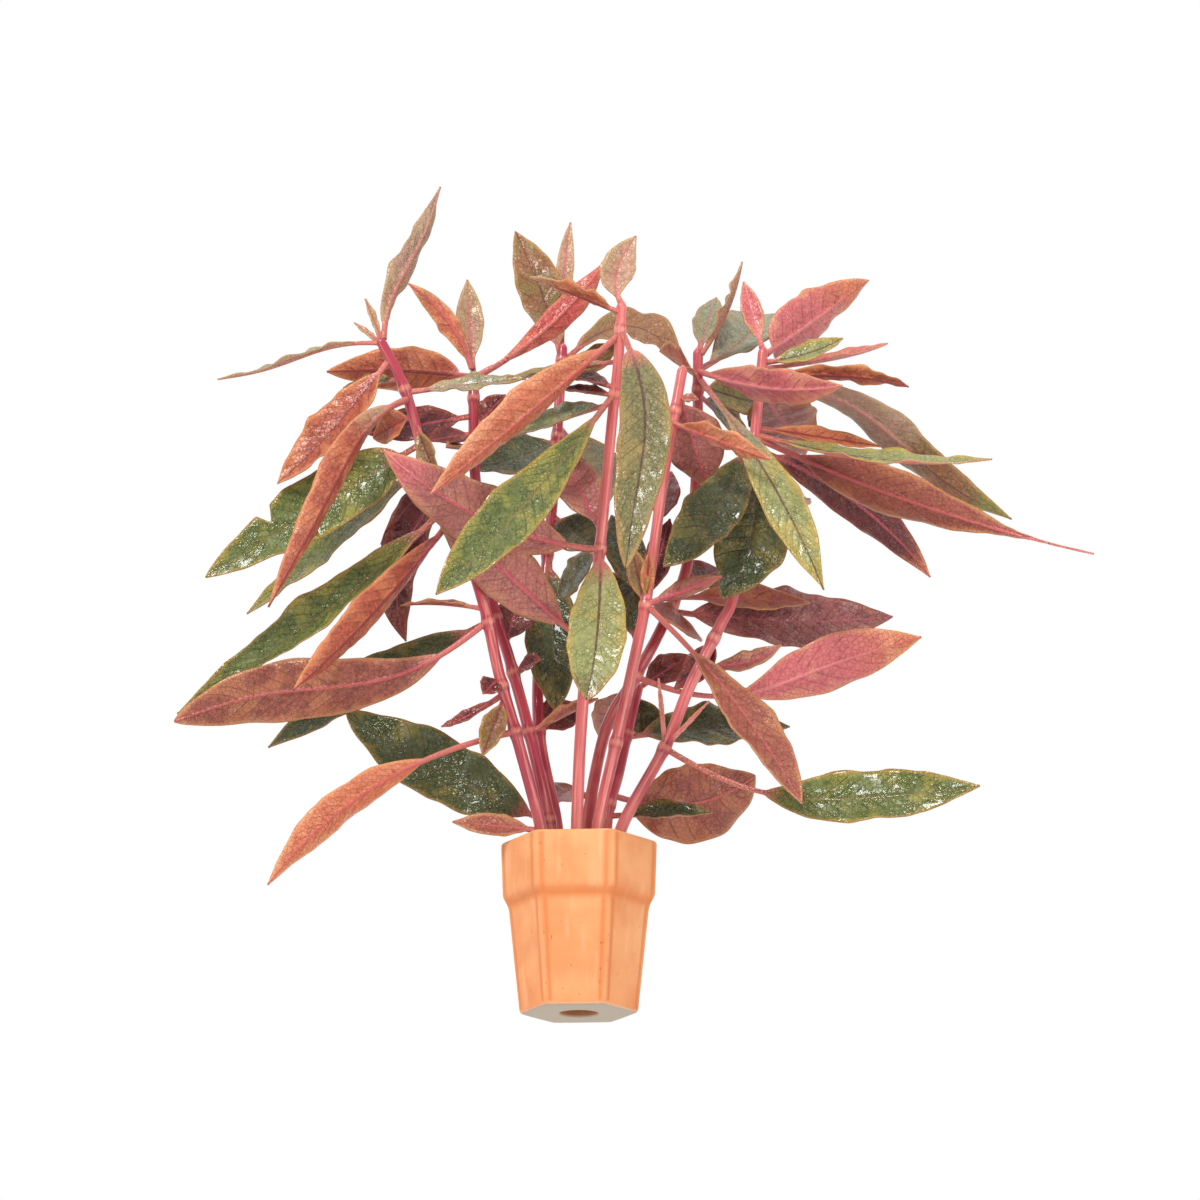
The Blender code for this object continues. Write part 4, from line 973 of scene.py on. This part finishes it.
def rounded(profile, steps=6, spacing=0.8):
    """A closed outline with its corners cut by small curves, and points along its straights."""
    rows = np.array(profile, float)
    out = []
    for before, here, after in zip(np.roll(rows, 1, 0), rows, np.roll(rows, -1, 0)):
        start = here + (before - here) * min(0.45, here[3] / np.linalg.norm((before - here)[:2]))
        end = here + (after - here) * min(0.45, here[3] / np.linalg.norm((after - here)[:2]))
        w = np.linspace(0, 1, steps)[:, None]
        out.append((1 - w) ** 2 * start + 2 * w * (1 - w) * here + w ** 2 * end)
    out = np.vstack(out + [out[0][:1]])
    pieces = []
    for low, high in zip(out, out[1:]):
        count = max(1, int(np.linalg.norm((high - low)[:2]) / spacing))
        pieces.append(low + (high - low) * np.arange(count)[:, None] / count)
    return np.vstack(pieces)[:, :3]


def hexagon(turn):
    """Distance from the middle to a soft hexagon whose corners lie at 1, for each angle."""
    sides = np.radians(30 + 60 * np.arange(6))
    facing = np.maximum(np.cos(turn[:, None] - sides[None, :]), 0)
    return HALF_SECTOR / (facing ** CORNER_POWER).sum(axis=1) ** (1 / CORNER_POWER)


def round_pot(radius, height, turn):
    """Points this far from the pot's middle, at this height and at these angles."""
    angle = turn + POT_TURN
    return np.stack([radius * np.cos(angle), radius * np.sin(angle), height + 0 * radius], axis=-1)


def pot_rings(around=288):
    """The profile carried round the hexagon. Shallow furrows run beside each corner and under
    the collar, and the finish paints shade into them."""
    profile = rounded(POT_PROFILE)
    turn = np.linspace(0, 2 * np.pi, around, endpoint=False)
    radius, height, share = (profile[:, k, None] for k in range(3))
    reach = share * hexagon(turn)[None, :] + (1 - share)
    corner = np.degrees(np.abs((turn + np.pi / 6) % (np.pi / 3) - np.pi / 6))[None, :]
    outside = share * (radius > 15.2) * (height > 1) * (height < 45)
    shaded_furrow = outside * np.exp(-((corner - FURROW_OFF) / FURROW_HALF) ** 2)
    under_collar = outside * np.exp(-((height - COLLAR_FOOT) / COLLAR_HALF) ** 2)
    spread = radius * reach - FURROW_DEPTH * shaded_furrow - COLLAR_DEPTH * under_collar
    # the furrows' share goes on the mesh for the painted shade in the clay's finish
    numbers = {"shaded_furrow": np.maximum(shaded_furrow, under_collar), "below": np.clip(1 - height / 0.8, 0, 1)}
    numbers = {key: values + 0 * spread for key, values in numbers.items()}
    return round_pot(spread, height, turn), numbers


def clay_material():
    """Pale orange clay, streaked where it was wiped, with open pores, and painted shade in the
    furrows beside the corners and under the collar.
    """
    board = Board(bpy.data.materials.new("clay"))
    shaded_furrow, below = board.number("shaded_furrow"), board.number("below")
    patch = board.cloud(14.0, 3.0)
    streak = board.cloud(3.0, 2.0, (1, 1, 0.12))
    grain = board.cloud(0.5, 3.0)
    pores = board.step(board.cloud(0.9, 2.0), 0.70, 0.76)
    colour = board.layers(
        rgb(240, 168, 112),
        (board.step(patch, 0.35, 0.65), rgb(230, 150, 94)),
        (board.step(streak, 0.52, 0.72) * 0.4, rgb(244, 186, 142)),
        # painted shade: darker orange in the furrows beside the corners and under the collar
        (shaded_furrow * 0.8, rgb(216, 124, 66)),
        (pores * 0.6, rgb(140, 92, 58)),
        (below * 0.85, rgb(250, 238, 216)),
    )
    relief = grain * 0.5 + patch * 0.5 - pores * 0.8
    return board.finish(Base_Color=colour, Roughness=0.78, Normal=board.bump(relief, 0.12))


# %% [markdown]
# ## Making the pot
# The profile is a closed loop, so the last ring has to meet the first. Counting one ring too
# many and taking the remainder does it: the faces of the last row end on the first ring.

# %% Make the pot
rings, numbers = pot_rings()
rows, around = rings.shape[:2]
faces = ring_faces(rows + 1, around) % (rows * around)
pot = add_mesh("clay_pot", rings, numbers, [clay_material()], faces)
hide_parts("pot")
print("the pot has", len(faces), "faces")

# %% [markdown]
# ## The growing wool
# A plug of mineral wool keeps the stems upright. Its top lies just under the rim, and its foot
# shows in the drain hole. It is a lumpy, fibrous stuff, stained by the water.

# %% Wool
WOOL_TOP = 42.3
WOOL_FOOT = 4.9
LUMP_HEIGHT = 0.35


def wool_rings(around=96):
    """Soft hexagons from the middle of the foot, up the side, to the middle of the top."""
    side = [(radius, WOOL_FOOT) for radius in np.linspace(0.1, 11.2, 10)]
    side += [(14.4, 28.0), (16.3, 34.5), (16.5, 38.0), (16.6, WOOL_TOP - 0.4)]
    side += [(radius, WOOL_TOP) for radius in np.linspace(16.2, 0.1, 24)]
    profile = np.array(side)
    turn = np.linspace(0, 2 * np.pi, around, endpoint=False)
    rings = round_pot(profile[:, :1] * hexagon(turn)[None, :], profile[:, 1:], turn)
    x, y, height = np.moveaxis(rings, -1, 0)
    lumps = LUMP_HEIGHT * (np.sin(1.3 * x + 0.7 * y) + np.sin(0.9 * y - 1.1 * x + 2) - 0.6)
    rings[..., 2] += (height >= WOOL_TOP) * lumps
    return rings


def wool_material():
    """Brown fibres, lighter where they are dry."""
    board = Board(bpy.data.materials.new("growing wool"))
    fibres = board.cloud(0.5, 4.0, (1, 0.25, 1))
    patch = board.cloud(5.0, 3.0)
    colour = board.layers(
        rgb(120, 104, 74),
        (board.step(patch, 0.35, 0.65), rgb(84, 76, 50)),
        (board.step(fibres, 0.5, 0.75), rgb(156, 138, 100)),
    )
    return board.finish(Base_Color=colour, Roughness=0.9, Normal=board.bump(fibres, 0.6))


wool = add_mesh("wool_plug", wool_rings(), {}, [wool_material()])
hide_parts("growing_wool")
print("the wool has", len(wool.data.polygons), "faces")
